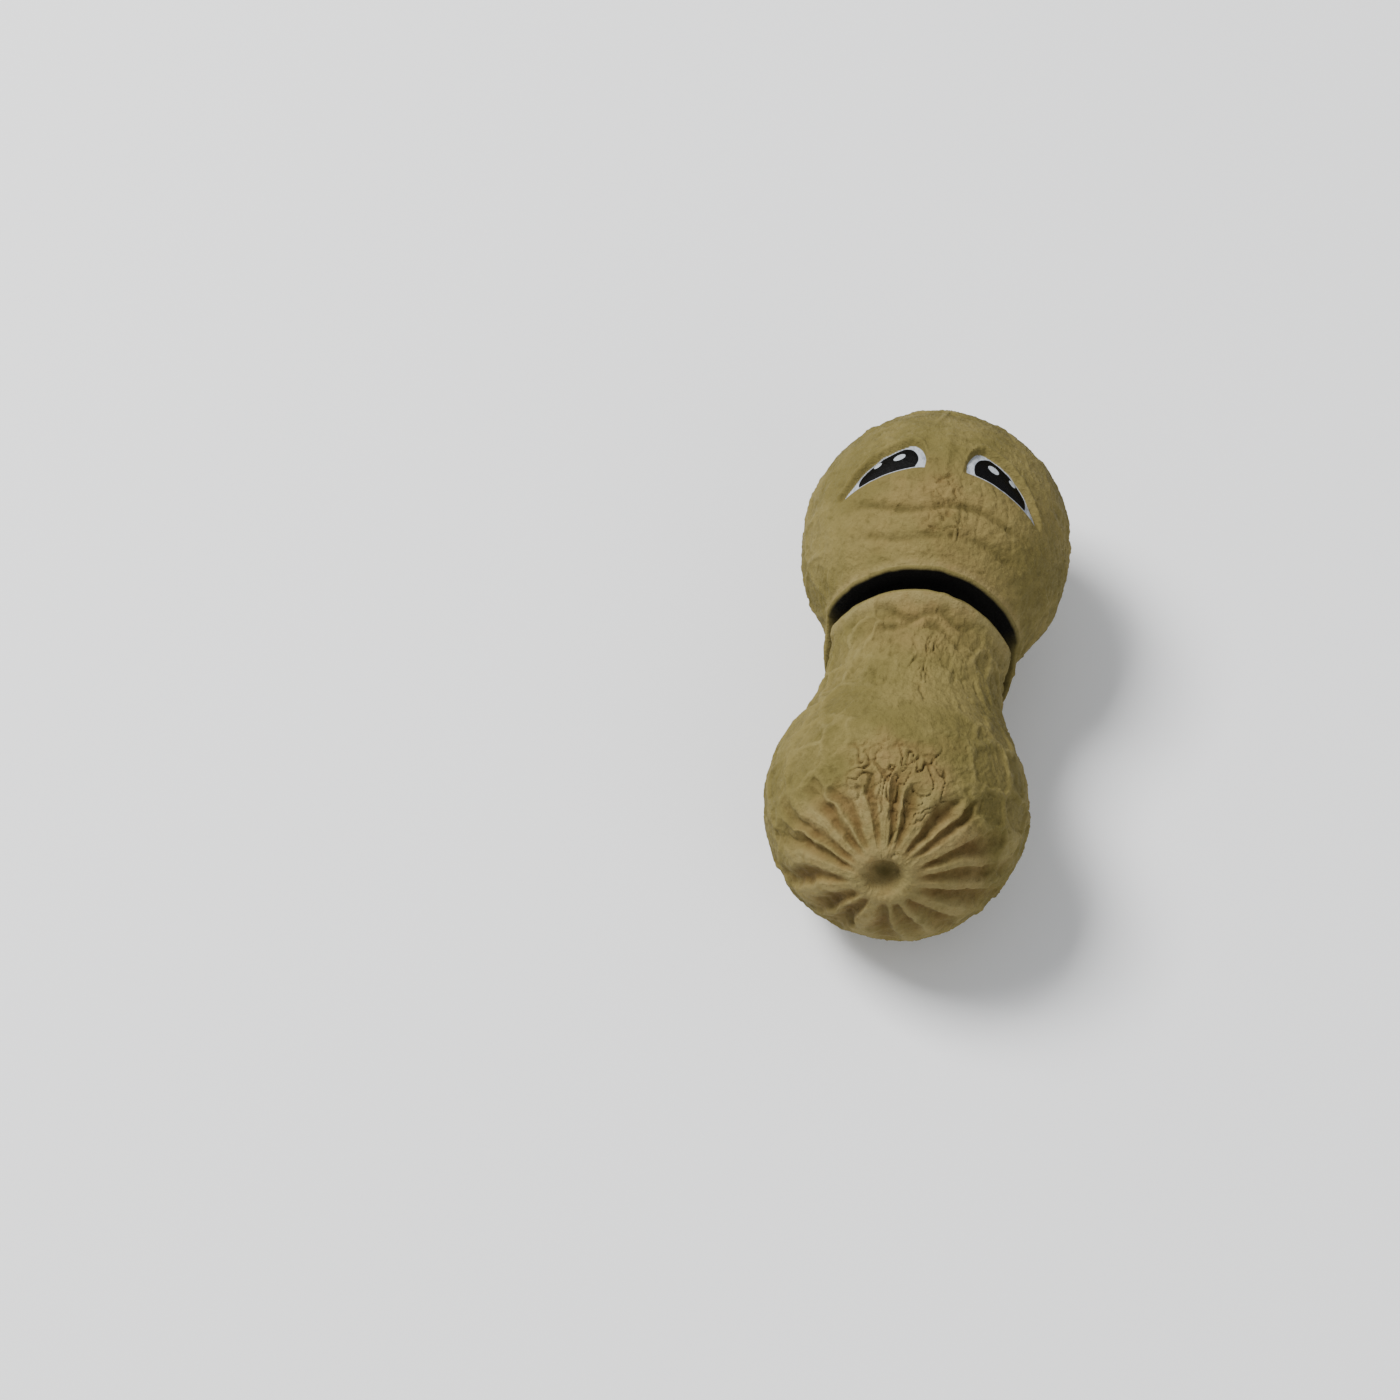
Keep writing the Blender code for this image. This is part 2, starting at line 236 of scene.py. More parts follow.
@dataclass(frozen=True)
class Outline:
    """The smooth shape of the figure, before any relief, as the CAD has it."""

    head_radius: float
    body_radius: float
    head_y: float
    body_y: float
    flat_depth: float = 0.28 * MM
    waist_radius: float = 6.5 * MM
    waist_from_head: float = 11.7 * MM
    lip_flare: float = 1.0 * MM
    slit_from_head: float = 8.0 * MM
    slit_end_drop: float = 1.0 * MM
    slit_core_drop: float = 2.2 * MM
    tongue_drop: float = 3.0 * MM
    tongue_thickness: float = 0.5 * MM
    tongue_blend: float = 0.7 * MM
    slit_gap: float = 0.8 * MM
    seam_gap: float = 0.44 * MM
    lip_raggedness: float = 0.09 * MM
    lip_ripples: tuple[Ripple, ...] = (Ripple(0.4, 2.6 * MM, 21.0), Ripple(0.6, 0.6 * MM, 22.0))
    lip_pattern_offset: float = 0.7
    peg_radius: float = 4.2 * MM
    peg_length: float = 5.0 * MM
    peg_clearance: float = 0.3 * MM
    side_power: float = 2.0
    front_power: float = 2.5
    side_reach: float = 1.05
    front_reach: float = 1.10
    slit_thinning_angle: float = math.radians(60.0)
    slit_thin_angle: float = math.radians(90.0)
    slit_end_angle: float = math.radians(75.0)
    tongue_angle: float = math.radians(120.0)
    lobe_end_angle: float = math.radians(121.0)
    face_side_angles: Span = (math.radians(60.0), math.radians(95.0))
    star_tilt: float = math.radians(30.0)
    star_tilt_inner: float = math.radians(25.0)
    star_tilt_outer: float = math.radians(110.0)

    @classmethod
    def from_frame(cls) -> Outline:
        """Reads the lobes' radii from the CAD nodes' boxes and their places from the two mounts.

        Returns:
            The outline at the CAD model's size.
        """
        head_low, head_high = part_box("head")
        body_low, body_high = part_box("body")
        rest_y = {mount["name"]: mount["pos_m"][1] for mount in frame["record"]["mounts"]}
        return cls(
            head_radius=(head_high.x - head_low.x) / 2,
            body_radius=(body_high.x - body_low.x) / 2,
            head_y=rest_y["rest_head"],
            body_y=rest_y["rest_body"],
        )

    @property
    def waist_y(self) -> float:
        """Place of the narrowest ring."""
        return self.head_y - self.waist_from_head

    @property
    def slit_y(self) -> float:
        """Place of the slit at the middle of the face."""
        return self.head_y - self.slit_from_head

    @property
    def peg_top_y(self) -> float:
        """Place of the peg's end inside the head."""
        return self.slit_y + self.peg_length

    @property
    def neck_start_y(self) -> float:
        """Where the body lobe's ball ends and the neck starts."""
        return self.body_y - self.body_radius * math.cos(self.lobe_end_angle)

    def axis_z(self, y: Field) -> Field:
        """Finds the height of the long axis above the surface that the figure lies on.

        Args:
            y: Places along the long axis.

        Returns:
            The axis's height at each.
        """
        share = np.clip((y - self.body_y) / (self.head_y - self.body_y), 0.0, 1.0)
        low = self.body_radius - self.flat_depth
        high = self.head_radius - self.flat_depth
        return low + (high - low) * share

    def seam_y(self, angle: Field) -> Field:
        """Follows the middle of the slit and of the seam that it turns into.

        Args:
            angle: Angles round the long axis from the middle of the face.

        Returns:
            The places along Y.
        """
        around = np.abs(wrapped(angle))
        droop = self.slit_end_drop * smooth_step(0.0, self.slit_end_angle, around)
        share = (around - self.slit_end_angle) / (self.tongue_angle - self.slit_end_angle)
        turn = np.sin(np.clip(share, 0.0, 1.0) * math.pi / 2)
        return self.slit_y - droop - self.tongue_drop * turn

    def seam_closing(self, angle: Field) -> Field:
        """0 along the slit in front, and 1 where it has thinned to the seam."""
        return smooth_step(self.slit_thinning_angle, self.slit_thin_angle, np.abs(wrapped(angle)))

    def seam_gap_at(self, angle: Field) -> Field:
        """Width of the slit along Y, which thins to the seam past its ends."""
        return self.slit_gap + (self.seam_gap - self.slit_gap) * self.seam_closing(angle)

    def face_side(self, angle: Field) -> Field:
        """1 over the front of the neck, where the slit is open, and 0 round the back."""
        return 1.0 - smooth_step(*self.face_side_angles, np.abs(wrapped(angle)))

    def lip_y(self, angle: Field, side: int) -> Field:
        """Follows an edge of the slit, a little ragged in front.

        Args:
            angle: Angles round the long axis.
            side: 1 for the head's lip and -1 for the body's.

        Returns:
            The edge's places along Y.
        """
        own_pattern = np.full(len(angle), self.lip_pattern_offset * side)
        places = self.waist_radius * np.stack((np.sin(angle), np.cos(angle), own_pattern), axis=1)
        ragged = self.lip_raggedness * rippled(places, self.lip_ripples) * self.face_side(angle)
        return self.seam_y(angle) + side * (self.seam_gap_at(angle) / 2 - ragged)

    def seam_surface_y(self, radius: Field, angle: Field) -> Field:
        """Follows the surface half way between the two pieces, inside the neck.

        Args:
            radius: Distances from the long axis.
            angle: Angles round it.

        Returns:
            The surface's places along Y.
        """
        span = self.waist_radius - self.peg_radius
        share = np.clip((radius - self.peg_radius) / span, 0.0, 1.0)
        core = self.slit_y - self.slit_core_drop
        return core + (self.seam_y(angle) - core) * share

    def neck_radius(self, y: Field) -> Field:
        """Finds the neck's outer radius, from the body lobe over the waist to the slit.

        Args:
            y: Places along the long axis.

        Returns:
            The radius at each.
        """
        rise = np.clip((y - self.waist_y) / (self.slit_y - self.waist_y), 0.0, 1.0)
        upper = self.waist_radius + self.lip_flare * rise**2
        start_radius = self.body_radius * math.sin(self.lobe_end_angle)
        slope = math.cos(self.lobe_end_angle) / math.sin(self.lobe_end_angle)
        span = self.waist_y - self.neck_start_y
        t = np.clip((y - self.neck_start_y) / span, 0.0, 1.0)
        falling = 2 * t**3 - 3 * t**2 + 1
        leaving = t**3 - 2 * t**2 + t
        lower = falling * start_radius + leaving * span * slope + (1.0 - falling) * self.waist_radius
        return np.where(y >= self.waist_y, upper, lower)

    def head_side_radius(self, y: Field, angle: Field) -> Field:
        """Finds the head's outer radius from its middle down to the slit and the tongue.

        Args:
            y: Places along the long axis.
            angle: Angles round it.

        Returns:
            The radius at each place.
        """
        depth = np.maximum(self.head_y - y, 0.0)
        front = 0.5 + 0.5 * np.cos(angle)
        power = self.side_power + (self.front_power - self.side_power) * front
        reach = self.head_radius * (self.side_reach + (self.front_reach - self.side_reach) * front)
        ball = self.head_radius * np.maximum(1.0 - (depth / reach) ** power, 0.0) ** (1.0 / power)
        tongue = self.neck_radius(np.minimum(y, self.waist_y)) + self.tongue_thickness
        blend = self.tongue_blend * smooth_step(0.0, self.head_radius / 2, depth)
        return 0.5 * (ball + tongue + np.hypot(ball - tongue, blend))


@dataclass
class Rings:
    """Rows of points round the long axis, with one value of each mark a point.

    The columns lie closer together on the face side, which shows, than on the underside.
    """

    outline: Outline
    columns: int
    crowding: float = 0.32
    unpainted: float = -1.0

    def __post_init__(self) -> None:
        """Sets out the columns' angles from the face side (+Z) towards +X."""
        even = np.linspace(0.0, math.tau, self.columns, endpoint=False)
        self.angle = even - self.crowding * np.sin(even)
        self.rows: list[Field] = []
        self.marks: dict[Mark, list[Field]] = {mark: [] for mark in Mark}

    def add(self, points: Field, marks: dict[Mark, Field] | None = None) -> None:
        """Adds one row.

        Args:
            points: One row of coordinates for each column.
            marks: Values of the marks on this row; the others are 0, or outside the eye paint.
        """
        given = marks or {}
        self.rows.append(points)
        for mark, rows in self.marks.items():
            plain = self.unpainted if mark in PAINTED else 0.0
            rows.append(given.get(mark, np.full(self.columns, plain)))

    def round_axis(self, y: Field | float, radius: Field | float) -> Field:
        """Lays one row round the long axis.

        Args:
            y: Places along the axis, one for each column or one for all.
            radius: Distances from it, likewise.

        Returns:
            One row of coordinates for each column.
        """
        y_row = np.broadcast_to(y, self.columns).astype(float)
        radius_row = np.broadcast_to(radius, self.columns)
        x_row = radius_row * np.sin(self.angle)
        z_row = self.outline.axis_z(y_row) + radius_row * np.cos(self.angle)
        return np.stack((x_row, y_row, z_row), axis=1)

    def to_object(self, name: str) -> bpy.types.Object:
        """Joins the rows, closes both ends and returns the object.

        Args:
            name: The object's name.

        Returns:
            A closed mesh with its faces outwards and its marks as attributes.
        """
        first, last = self.rows[0].mean(axis=0), self.rows[-1].mean(axis=0)
        points = np.concatenate([first[None], *self.rows, last[None]])
        row_count, columns = len(self.rows), self.columns
        here = 1 + np.arange(row_count - 1)[:, None] * columns + np.arange(columns)[None, :]
        beside = 1 + np.arange(row_count - 1)[:, None] * columns + (np.arange(columns) + 1) % columns
        quads = np.stack((here, beside, beside + columns, here + columns), axis=-1).reshape(-1, 4)
        final = 1 + (row_count - 1) * columns
        around = np.arange(columns)
        caps = [(0, 1 + (c + 1) % columns, 1 + c) for c in around]
        caps += [(final + c, final + (c + 1) % columns, len(points) - 1) for c in around]
        mesh = bpy.data.meshes.new(name)
        mesh.from_pydata(points.tolist(), [], quads.tolist() + caps)
        for mark, rows in self.marks.items():
            values = np.concatenate([rows[0][:1], *rows, rows[-1][:1]])
            layer = mesh.attributes.new(mark.value, "FLOAT", "POINT")
            layer.data.foreach_set("value", values.astype(np.float32))
        builder = bmesh.new()
        builder.from_mesh(mesh)
        bmesh.ops.recalc_face_normals(builder, faces=builder.faces[:])
        builder.to_mesh(mesh)
        builder.free()
        mesh.shade_smooth()
        piece = bpy.data.objects.new(name, mesh)
        bpy.context.scene.collection.objects.link(piece)
        return piece


@dataclass(frozen=True)
class Crease:
    """A wavy line pressed into the surface, across the figure or along it.

    Places are lengths on the surface: across from the middle of the face, and along Y from a given ring.
    """

    across: float
    along: float
    reach: float
    width: float
    depth: float
    slope: float = 0.0
    sway: float = 0.0
    waves: float = 0.0
    full_share: float = 0.6

    def at(self, across: Field, along: Field) -> Field:
        """Reads the crease.

        Args:
            across: Length on the surface from the middle line.
            along: Place along Y.

        Returns:
            How deep the crease is at each place.
        """
        run = across - self.across
        line = self.along + self.slope * run + self.sway * np.sin(self.waves * run + self.across / MM)
        ends = 1.0 - smooth_step(self.full_share * self.reach, self.reach, np.abs(run))
        return self.depth * hump(along - line, self.width) * ends


@dataclass(frozen=True)
class Crumple:
    """A patch of the shell that is crushed into short broken wrinkles.

    The layers' widths are in sizes, apart from the one that makes the patch's edge ragged.
    """

    across: float
    along: float
    half_width: float
    half_length: float
    depth: float
    size: float = 1.0 * MM
    shift: float = 0.0
    rusty: float = 1.0
    edge: Span = (0.30, 1.15)
    ragged: Ripple = Ripple(0.40, 1.5 * MM, 5.0)
    stretch: Triple = (1.15, 0.80, 1.0)
    swirl: Ripple = Ripple(0.55, 1.3, 9.0)
    sharpness: float = 8.4
    wrinkle: Ripple = Ripple(1.0, 1.0, 0.0)
    finer: Ripple = Ripple(0.7, 0.5, 30.0)
    breaks: Ripple = Ripple(1.0, 1.2, 44.0)
    break_level: float = 0.25
    contrast: float = 1.2
    cut_off: float = 0.12
    lumps: Ripple = Ripple(0.22, 0.8, 52.0)
    middle: float = 0.30

    def at(self, across: Field, along: Field, points: Field) -> tuple[Field, Field, Field]:
        """Reads the patch.

        Args:
            across: Length on the surface from the middle line.
            along: Place along Y.
            points: The same places in space.

        Returns:
            The depth at each place, and masks from 0 to 1 of the wrinkles and of the whole patch.
        """
        own = {"scale": self.size, "shift": self.shift}
        sideways = (across - self.across) / self.half_width
        lengthwise = (along - self.along) / self.half_length
        spread = np.hypot(sideways, lengthwise) + self.ragged.at(points, shift=self.shift)
        inside = 1.0 - smooth_step(*self.edge, spread)
        pushed = points * np.array(self.stretch) + self.size * self.swirl.pushes(points, **own)
        strokes = smooth_step(-self.break_level, self.break_level, self.breaks.at(points, **own))
        broken = strokes * self.wrinkle.lines(pushed, self.sharpness, **own)
        lines = np.maximum(broken, self.finer.lines(pushed, self.sharpness, **own))
        wrinkles = np.clip(self.contrast * lines - self.cut_off, 0.0, 1.0)
        depth = self.depth * inside * (wrinkles - self.middle + self.lumps.at(pushed, **own))
        return depth, inside * wrinkles, inside


@dataclass(frozen=True)
class Trough:
    """One trough of the star: where it runs, and how wide and deep it is beside the others."""

    middle: float
    start: float
    end: float
    fatness: float
    deepness: float


@dataclass(frozen=True)
class Star:
    """The dimple on the near end and the pleats that run out from it.

    A trough's place along its length is a share of it, from 0 beside the dimple to 1 at its tip. Its
    reach has a part for everywhere, one more towards the upper end, and one more towards the sides.
    """

    radius: float
    pleats: int = 18
    bunching: float = 0.25
    unevenness: float = 0.20
    reach: Triple = (0.93, 0.18, 0.20)
    start_spread: Span = (0.95, 1.25)
    end_spread: Span = (0.88, 1.12)
    fatness_spread: Span = (0.76, 1.08)
    deepness_spread: Span = (0.70, 1.20)
    seed: int = 4
    depth: float = 0.75 * MM
    steepness: float = 0.80
    wall_power: float = 1.9
    lean: float = 0.22
    inner_angle: float = math.radians(10.5)
    outer_angle: float = math.radians(50.0)
    inner_fill: float = 0.74
    outer_fill: float = 0.92
    round_tip: float = 0.3
    deep_from: float = 0.18
    rising_from: float = 0.55
    tip_rise: float = 0.7
    bends: tuple[Ripple, ...] = (Ripple(0.12, 3.2 * MM, 2.0), Ripple(0.06, 0.9 * MM, 6.0))
    roughness: tuple[Ripple, ...] = (Ripple(0.18, 0.6 * MM, 12.0), Ripple(0.14, 1.4 * MM, 14.0))
    dimple_depth: float = 1.1 * MM
    dimple_angle: float = math.radians(10.0)
    dimple_waver: float = 0.05
    rim_angle: float = math.radians(12.5)
    rim_width: float = math.radians(2.4)
    rim_height: float = 0.08 * MM

    def troughs(self) -> list[Trough]:
        """Draws the troughs, which reach furthest at the sides and the upper end.

        Returns:
            The troughs, in order round the dimple.
        """
        draw = np.random.default_rng(self.seed)
        everywhere, upwards, sideways = self.reach
        made = []
        for pleat in range(self.pleats):
            even = math.tau / self.pleats * (pleat + draw.uniform(-self.unevenness, self.unevenness))
            middle = even - self.bunching * math.sin(even)
            spacing = 1.0 - self.bunching * math.cos(even)
            upper = 0.5 + 0.5 * math.cos(middle)
            reach = everywhere + upwards * upper + sideways * math.sin(middle) ** 2
            made.append(
                Trough(
                    middle=middle,
                    start=self.inner_angle * draw.uniform(*self.start_spread),
                    end=self.outer_angle * reach * draw.uniform(*self.end_spread),
                    fatness=spacing * draw.uniform(*self.fatness_spread),
                    deepness=draw.uniform(*self.deepness_spread),
                )
            )
        return made

    def at(self, polar: float, angle: Field, points: Field, troughs: list[Trough]) -> tuple[Field, Field]:
        """Reads the star on one ring.

        Args:
            polar: The ring's angle from the middle of the dimple.
            angle: The points' angles round it, with 0 at the upper side.
            points: The same places in space.
            troughs: The troughs, as drawn.

        Returns:
            How far the surface sinks, and a mask from 0 to 1 that is 1 in the troughs.
        """
        bend = rippled(points, self.bends)
        sunk, mask = np.zeros((2, len(angle)))
        for trough in troughs:
            share = (polar - trough.start) / (trough.end - trough.start)
            if 0.0 < share < 1.0:
                depth, inside = self._in_trough(trough, share, polar, angle + bend * share)
                sunk = np.maximum(sunk, depth)
                mask = np.maximum(mask, inside)
        waver = self.dimple_waver * bend
        bowl = 1.0 - smooth_step(self.dimple_angle / 2, self.dimple_angle, polar + waver)
        rim = self.rim_height * hump(polar - self.rim_angle, self.rim_width)
        return (sunk - rim) * (1.0 + rippled(points, self.roughness)) + self.dimple_depth * bowl, mask

    def _in_trough(self, trough: Trough, share: float, polar: float, angle: Field) -> tuple[Field, Field]:
        """Reads one trough on one ring.

        Args:
            trough: The trough.
            share: The ring's place along it.
            polar: The ring's angle from the middle of the dimple.
            angle: The points' angles round it.

        Returns:
            How far the surface sinks, and a mask from 0 to 1 that is 1 in the trough.
        """
        fill = self.inner_fill + (self.outer_fill - self.inner_fill) * share
        narrowing = max((share - 1.0 + self.round_tip) / self.round_tip, 0.0)
        half = math.pi / self.pleats * fill * trough.fatness * math.sqrt(1.0 - narrowing**2)
        off = wrapped(angle - trough.middle) / half
        leaning = off + self.lean * (1.0 - off**2)
        inside = np.clip(1.0 - np.abs(leaning) ** self.wall_power, 0.0, 1.0) * (np.abs(off) < 1.0)
        inside = inside * smooth_step(0.0, self.deep_from, share)
        inside = inside * (1.0 - self.tip_rise * smooth_step(self.rising_from, 1.0, share))
        deepest = min(self.depth, self.steepness * half * self.radius * math.sin(polar))
        return deepest * trough.deepness * inside, inside


@dataclass(frozen=True)
class Folds:
    """Long low folds that run one way over a stretch of the shell, as on the neck.

    The layers' widths are in sizes, apart from the one that makes the folds patchy.
    """

    along_from: float
    along_to: float
    depth: float
    size: float = 0.9 * MM
    stretch: Triple = (1.0, 0.38, 1.0)
    soft_end: float = 1.2 * MM
    shift: float = 0.0
    swirl: Ripple = Ripple(0.3, 1.6, 4.0)
    sharpness: float = 5.0
    fold: Ripple = Ripple(1.0, 1.0, 50.0)
    finer: Ripple = Ripple(0.4, 0.5, 60.0)
    middle: float = 0.45
    patches: Ripple = Ripple(1.0, 3.0 * MM, 70.0)
    patch_levels: Span = (-0.3, 0.4)
    least_share: float = 0.35

    def at(self, along: Field, points: Field) -> Field:
        """Reads the folds.

        Args:
            along: Place along Y.
            points: The same places in space.

        Returns:
            How deep the folds are at each place.
        """
        own = {"scale": self.size, "shift": self.shift}
        pushed = points * np.array(self.stretch) + self.size * self.swirl.pushes(points, **own)
        valleys = self.fold.lines(pushed, self.sharpness, **own)
        valleys = valleys + self.finer.lines(pushed, self.sharpness, **own)
        begins = smooth_step(self.along_from, self.along_from + self.soft_end, along)
        ends = 1.0 - smooth_step(self.along_to - self.soft_end, self.along_to, along)
        patches = smooth_step(*self.patch_levels, self.patches.at(points, shift=self.shift))
        patchy = self.least_share + (1.0 - self.least_share) * patches
        return self.depth * (valleys - self.middle) * begins * ends * patchy


@dataclass(frozen=True)
class ToyFace:
    """A plain sleepy toy face: two half-moon eyes under low lids, and a bar between them.

    The lid's ends and the middles of the ovals of paint are shares of an eye's length and height.
    """

    outline: Outline
    eye_inner: float = math.radians(8.0)
    eye_outer: float = math.radians(48.0)
    eye_height: float = 3.0 * MM
    least_height: float = 0.36 * MM
    droop: float = 2.0 * MM
    droop_power: float = 1.5
    inner_rounding: float = 0.25
    outer_power: float = 2.5
    lower_depth: float = 0.12 * MM
    upper_depth: float = 0.55 * MM
    depth_power: float = 1.4
    wall: float = 0.26 * MM
    wall_inside: float = 0.7
    lid_rise: float = 0.16 * MM
    lid_above_eye: float = 0.28 * MM
    lid_width: float = 0.26 * MM
    lid_ends: Span = (-0.10, 1.04)
    bar_width: float = 0.42 * MM
    bar_foot: Span = (-1.6 * MM, 0.0)
    bar_top: Span = (3.0 * MM, 5.5 * MM)
    white_border: float = 0.15 * MM
    pupil_border: float = 0.22 * MM
    pupil_middle: Span = (0.44, 0.30)
    pupil_size: Span = (2.35 * MM, 1.95 * MM)
    glints: tuple[tuple[Span, Span], ...] = (
        ((0.33, 0.56), (0.46 * MM, 0.36 * MM)),
        ((0.58, 0.56), (0.36 * MM, 0.30 * MM)),
    )
    far_outside: float = -1.0 * MM
    wobble: Ripple = Ripple(0.03 * MM, 0.7 * MM, 3.0)

    @property
    def eye_width(self) -> float:
        """Length of an eye on the surface."""
        return self.outline.head_radius * (self.eye_outer - self.eye_inner)

    def at(self, angle: Field, y: Field, points: Field) -> tuple[Field, dict[Mark, Field]]:
        """Reads the face on one ring.

        Args:
            angle: The points' angles round the long axis.
            y: Their places along it.
            points: The same places in space.

        Returns:
            How far the surface sinks, and the marks of the eye paint: lengths inside each paint's edge, in
            millimetres.
        """
        off = wrapped(angle)
        share = (np.abs(off) - self.eye_inner) / (self.eye_outer - self.eye_inner)
        held = np.clip(share, 0.0, 1.0)
        low = self.outline.head_y - self.droop * held**self.droop_power
        from_rounding = 1.0 - np.minimum(held / self.inner_rounding, 1.0)
        bulge = np.sqrt(1.0 - from_rounding**2) * (1.0 - held**self.outer_power)
        height = self.least_height + (self.eye_height - self.least_height) * bulge
        up, along = y - low, share * self.eye_width
        from_lower = up / self._steepness(low, along)
        from_upper = (height - up) / self._steepness(low + height, along)
        edge = np.minimum(np.minimum(from_lower, from_upper), np.minimum(along, self.eye_width - along))
        level = np.clip(up / height, 0.0, 1.0) ** self.depth_power
        floor = self.lower_depth + (self.upper_depth - self.lower_depth) * level
        wall_ends = ((self.wall_inside - 1.0) * self.wall, self.wall_inside * self.wall)
        near_eye = (share > self.lid_ends[0]) & (share < self.lid_ends[1])
        lid = hump(up - height - self.lid_above_eye, self.lid_width) * near_eye
        sunk = floor * smooth_step(*wall_ends, edge) - self.lid_rise * np.maximum(lid, self._bar(off, y))
        pupil = self._oval(along, up, self.pupil_middle, self.pupil_size)
        glint = np.full(len(angle), self.far_outside)
        for middle, half in self.glints:
            glint = np.maximum(glint, self._oval(along, up, middle, half))
        wobble = self.wobble.at(points)
        return sunk, {
            Mark.EYE: (edge + wobble - self.white_border) / MM,
            Mark.PUPIL: (np.minimum(pupil, edge - self.pupil_border) + wobble) / MM,
            Mark.GLINT: (np.minimum(glint, edge - self.pupil_border) + wobble) / MM,
        }

    def _bar(self, off: Field, y: Field) -> Field:
        """Reads the bar between the eyes.

        Args:
            off: Angles from the middle of the face.
            y: Places along the long axis.

        Returns:
            A mask from 0 to 1.
        """
        along = y - self.outline.head_y
        ends = smooth_step(*self.bar_foot, along) * (1.0 - smooth_step(*self.bar_top, along))
        return hump(off * self.outline.head_radius, self.bar_width) * ends

    def _steepness(self, line: Field, along: Field) -> Field:
        """How much longer a line's own way is than the way along the surface, at each point of a ring."""
        step = np.maximum(np.abs(np.gradient(along)), 1e-9)
        return np.hypot(1.0, np.gradient(line) / step)

    def _oval(self, along: Field, up: Field, middle: Span, half: Span) -> Field:
        """Reads an oval of paint, in the eye's own directions.

        Args:
            along: Lengths from the eye's inner end.
            up: Lengths from its lower edge.
            middle: The oval's middle, in shares of the eye's length and height.
            half: Half its length and height.

        Returns:
            Lengths inside its edge, below 0 outside it.
        """
        from_u = (along - middle[0] * self.eye_width) / half[0]
        from_v = (up - middle[1] * self.eye_height) / half[1]
        return (1.0 - np.hypot(from_u, from_v)) * min(half)


class NodeBench:
    """Adds and joins the nodes of one tree, so that a tree reads as a list of steps."""

    def __init__(self, tree: bpy.types.NodeTree) -> None:
        """Takes the tree to build in."""
        self.tree = tree

    def add(
        self, kind: str, inputs: dict[int | str, object] | None = None, **settings: object
    ) -> bpy.types.Node:
        """Adds a node.

        Args:
            kind: The node's type name.
            inputs: Numbers, colours or output sockets for its inputs, by name or place.
            **settings: Values of the node's own properties.

        Returns:
            The node.
        """
        node = self.tree.nodes.new(kind)
        for name, value in settings.items():
            setattr(node, name, value)
        for key, value in (inputs or {}).items():
            if isinstance(value, Socket):
                self.tree.links.new(value, node.inputs[key])
            else:
                node.inputs[key].default_value = value
        return node

    def math(self, operation: str, first: object, second: object = 0.0) -> Socket:
        """A Math node's result."""
        return self.add("ShaderNodeMath", {0: first, 1: second}, operation=operation).outputs[0]

    def product(self, *values: object) -> Socket:
        """Multiplies several values.

        Args:
            *values: Numbers or output sockets.

        Returns:
            The product.
        """
        total = values[0]
        for value in values[1:]:
            total = self.math("MULTIPLY", total, value)
        return total

    def vector(self, operation: str, first: object, second: object) -> Socket:
        """A Vector Math node's result."""
        return self.add("ShaderNodeVectorMath", {0: first, 1: second}, operation=operation).outputs[0]

    def scaled(self, vector: object, factor: object) -> Socket:
        """A vector made longer or shorter."""
        inputs = {0: vector, "Scale": factor}
        return self.add("ShaderNodeVectorMath", inputs, operation="SCALE").outputs[0]

    def remap(
        self, value: object, low: object, high: object, start: float = 0.0, end: float = 1.0
    ) -> Socket:
        """Changes smoothly from start to end.

        Args:
            value: What decides.
            low: The value that gives start.
            high: The value that gives end; it may be below low.
            start: The result at low and past it.
            end: The result at high and past it.

        Returns:
            The result.
        """
        inputs = {"Value": value, "From Min": low, "From Max": high, "To Min": start, "To Max": end}
        node = self.add("ShaderNodeMapRange", inputs, interpolation_type="SMOOTHSTEP")
        return node.outputs["Result"]


class ReliefBench(NodeBench):
    """A bench for a Geometry Nodes tree whose patterns lie in the object's own space."""

    noise_roughness: ClassVar[float] = 0.55

    def __init__(self, tree: bpy.types.NodeTree, titles: list[str]) -> None:
        """Gives the tree its inputs and output.

        Args:
            tree: The empty tree.
            titles: Names of the inputs that hold sizes.
        """
        super().__init__(tree)
        tree.interface.new_socket("Geometry", in_out="INPUT", socket_type="NodeSocketGeometry")
        tree.interface.new_socket("Material", in_out="INPUT", socket_type="NodeSocketMaterial")
        for title in titles:
            tree.interface.new_socket(title, in_out="INPUT", socket_type="NodeSocketFloat")
        tree.interface.new_socket("Geometry", in_out="OUTPUT", socket_type="NodeSocketGeometry")
        self.given = self.add("NodeGroupInput").outputs
        self.place = self.add("GeometryNodeInputPosition").outputs[0]

    def mark(self, which: Mark) -> Socket:
        """One of the values kept on the mesh's points."""
        node = self.add("GeometryNodeInputNamedAttribute", {"Name": which.value}, data_type="FLOAT")
        return node.outputs["Attribute"]

    def noise(self, size: object, detail: float, shift: float, output: str = "Fac") -> Socket:
        """Makes a noise in space.

        Args:
            size: Width of its lumps.
            detail: How many finer layers it has.
            shift: Picks its pattern.
            output: Fac for values from 0 to 1, or Color for three of them.

        Returns:
            The noise.
        """
        inputs = {
            "Vector": self.place,
            "W": self.math("ADD", self.given["Seed"], shift),
            "Scale": self.math("DIVIDE", 1.0, size),
            "Detail": detail,
            "Roughness": self.noise_roughness,
        }
        return self.add("ShaderNodeTexNoise", inputs, noise_dimensions="4D").outputs[output]

    def either_way(self, value: object, height: object) -> Socket:
        """A value from 0 to 1 turned into a rise of that height up or down."""
        return self.product(self.math("SUBTRACT", value, 0.5), 2.0, height)

    def above(self, value: object, level: float, height: object) -> Socket:
        """A value from 0 to 1 turned into a rise of that height over a level."""
        return self.product(self.math("SUBTRACT", value, level), height)


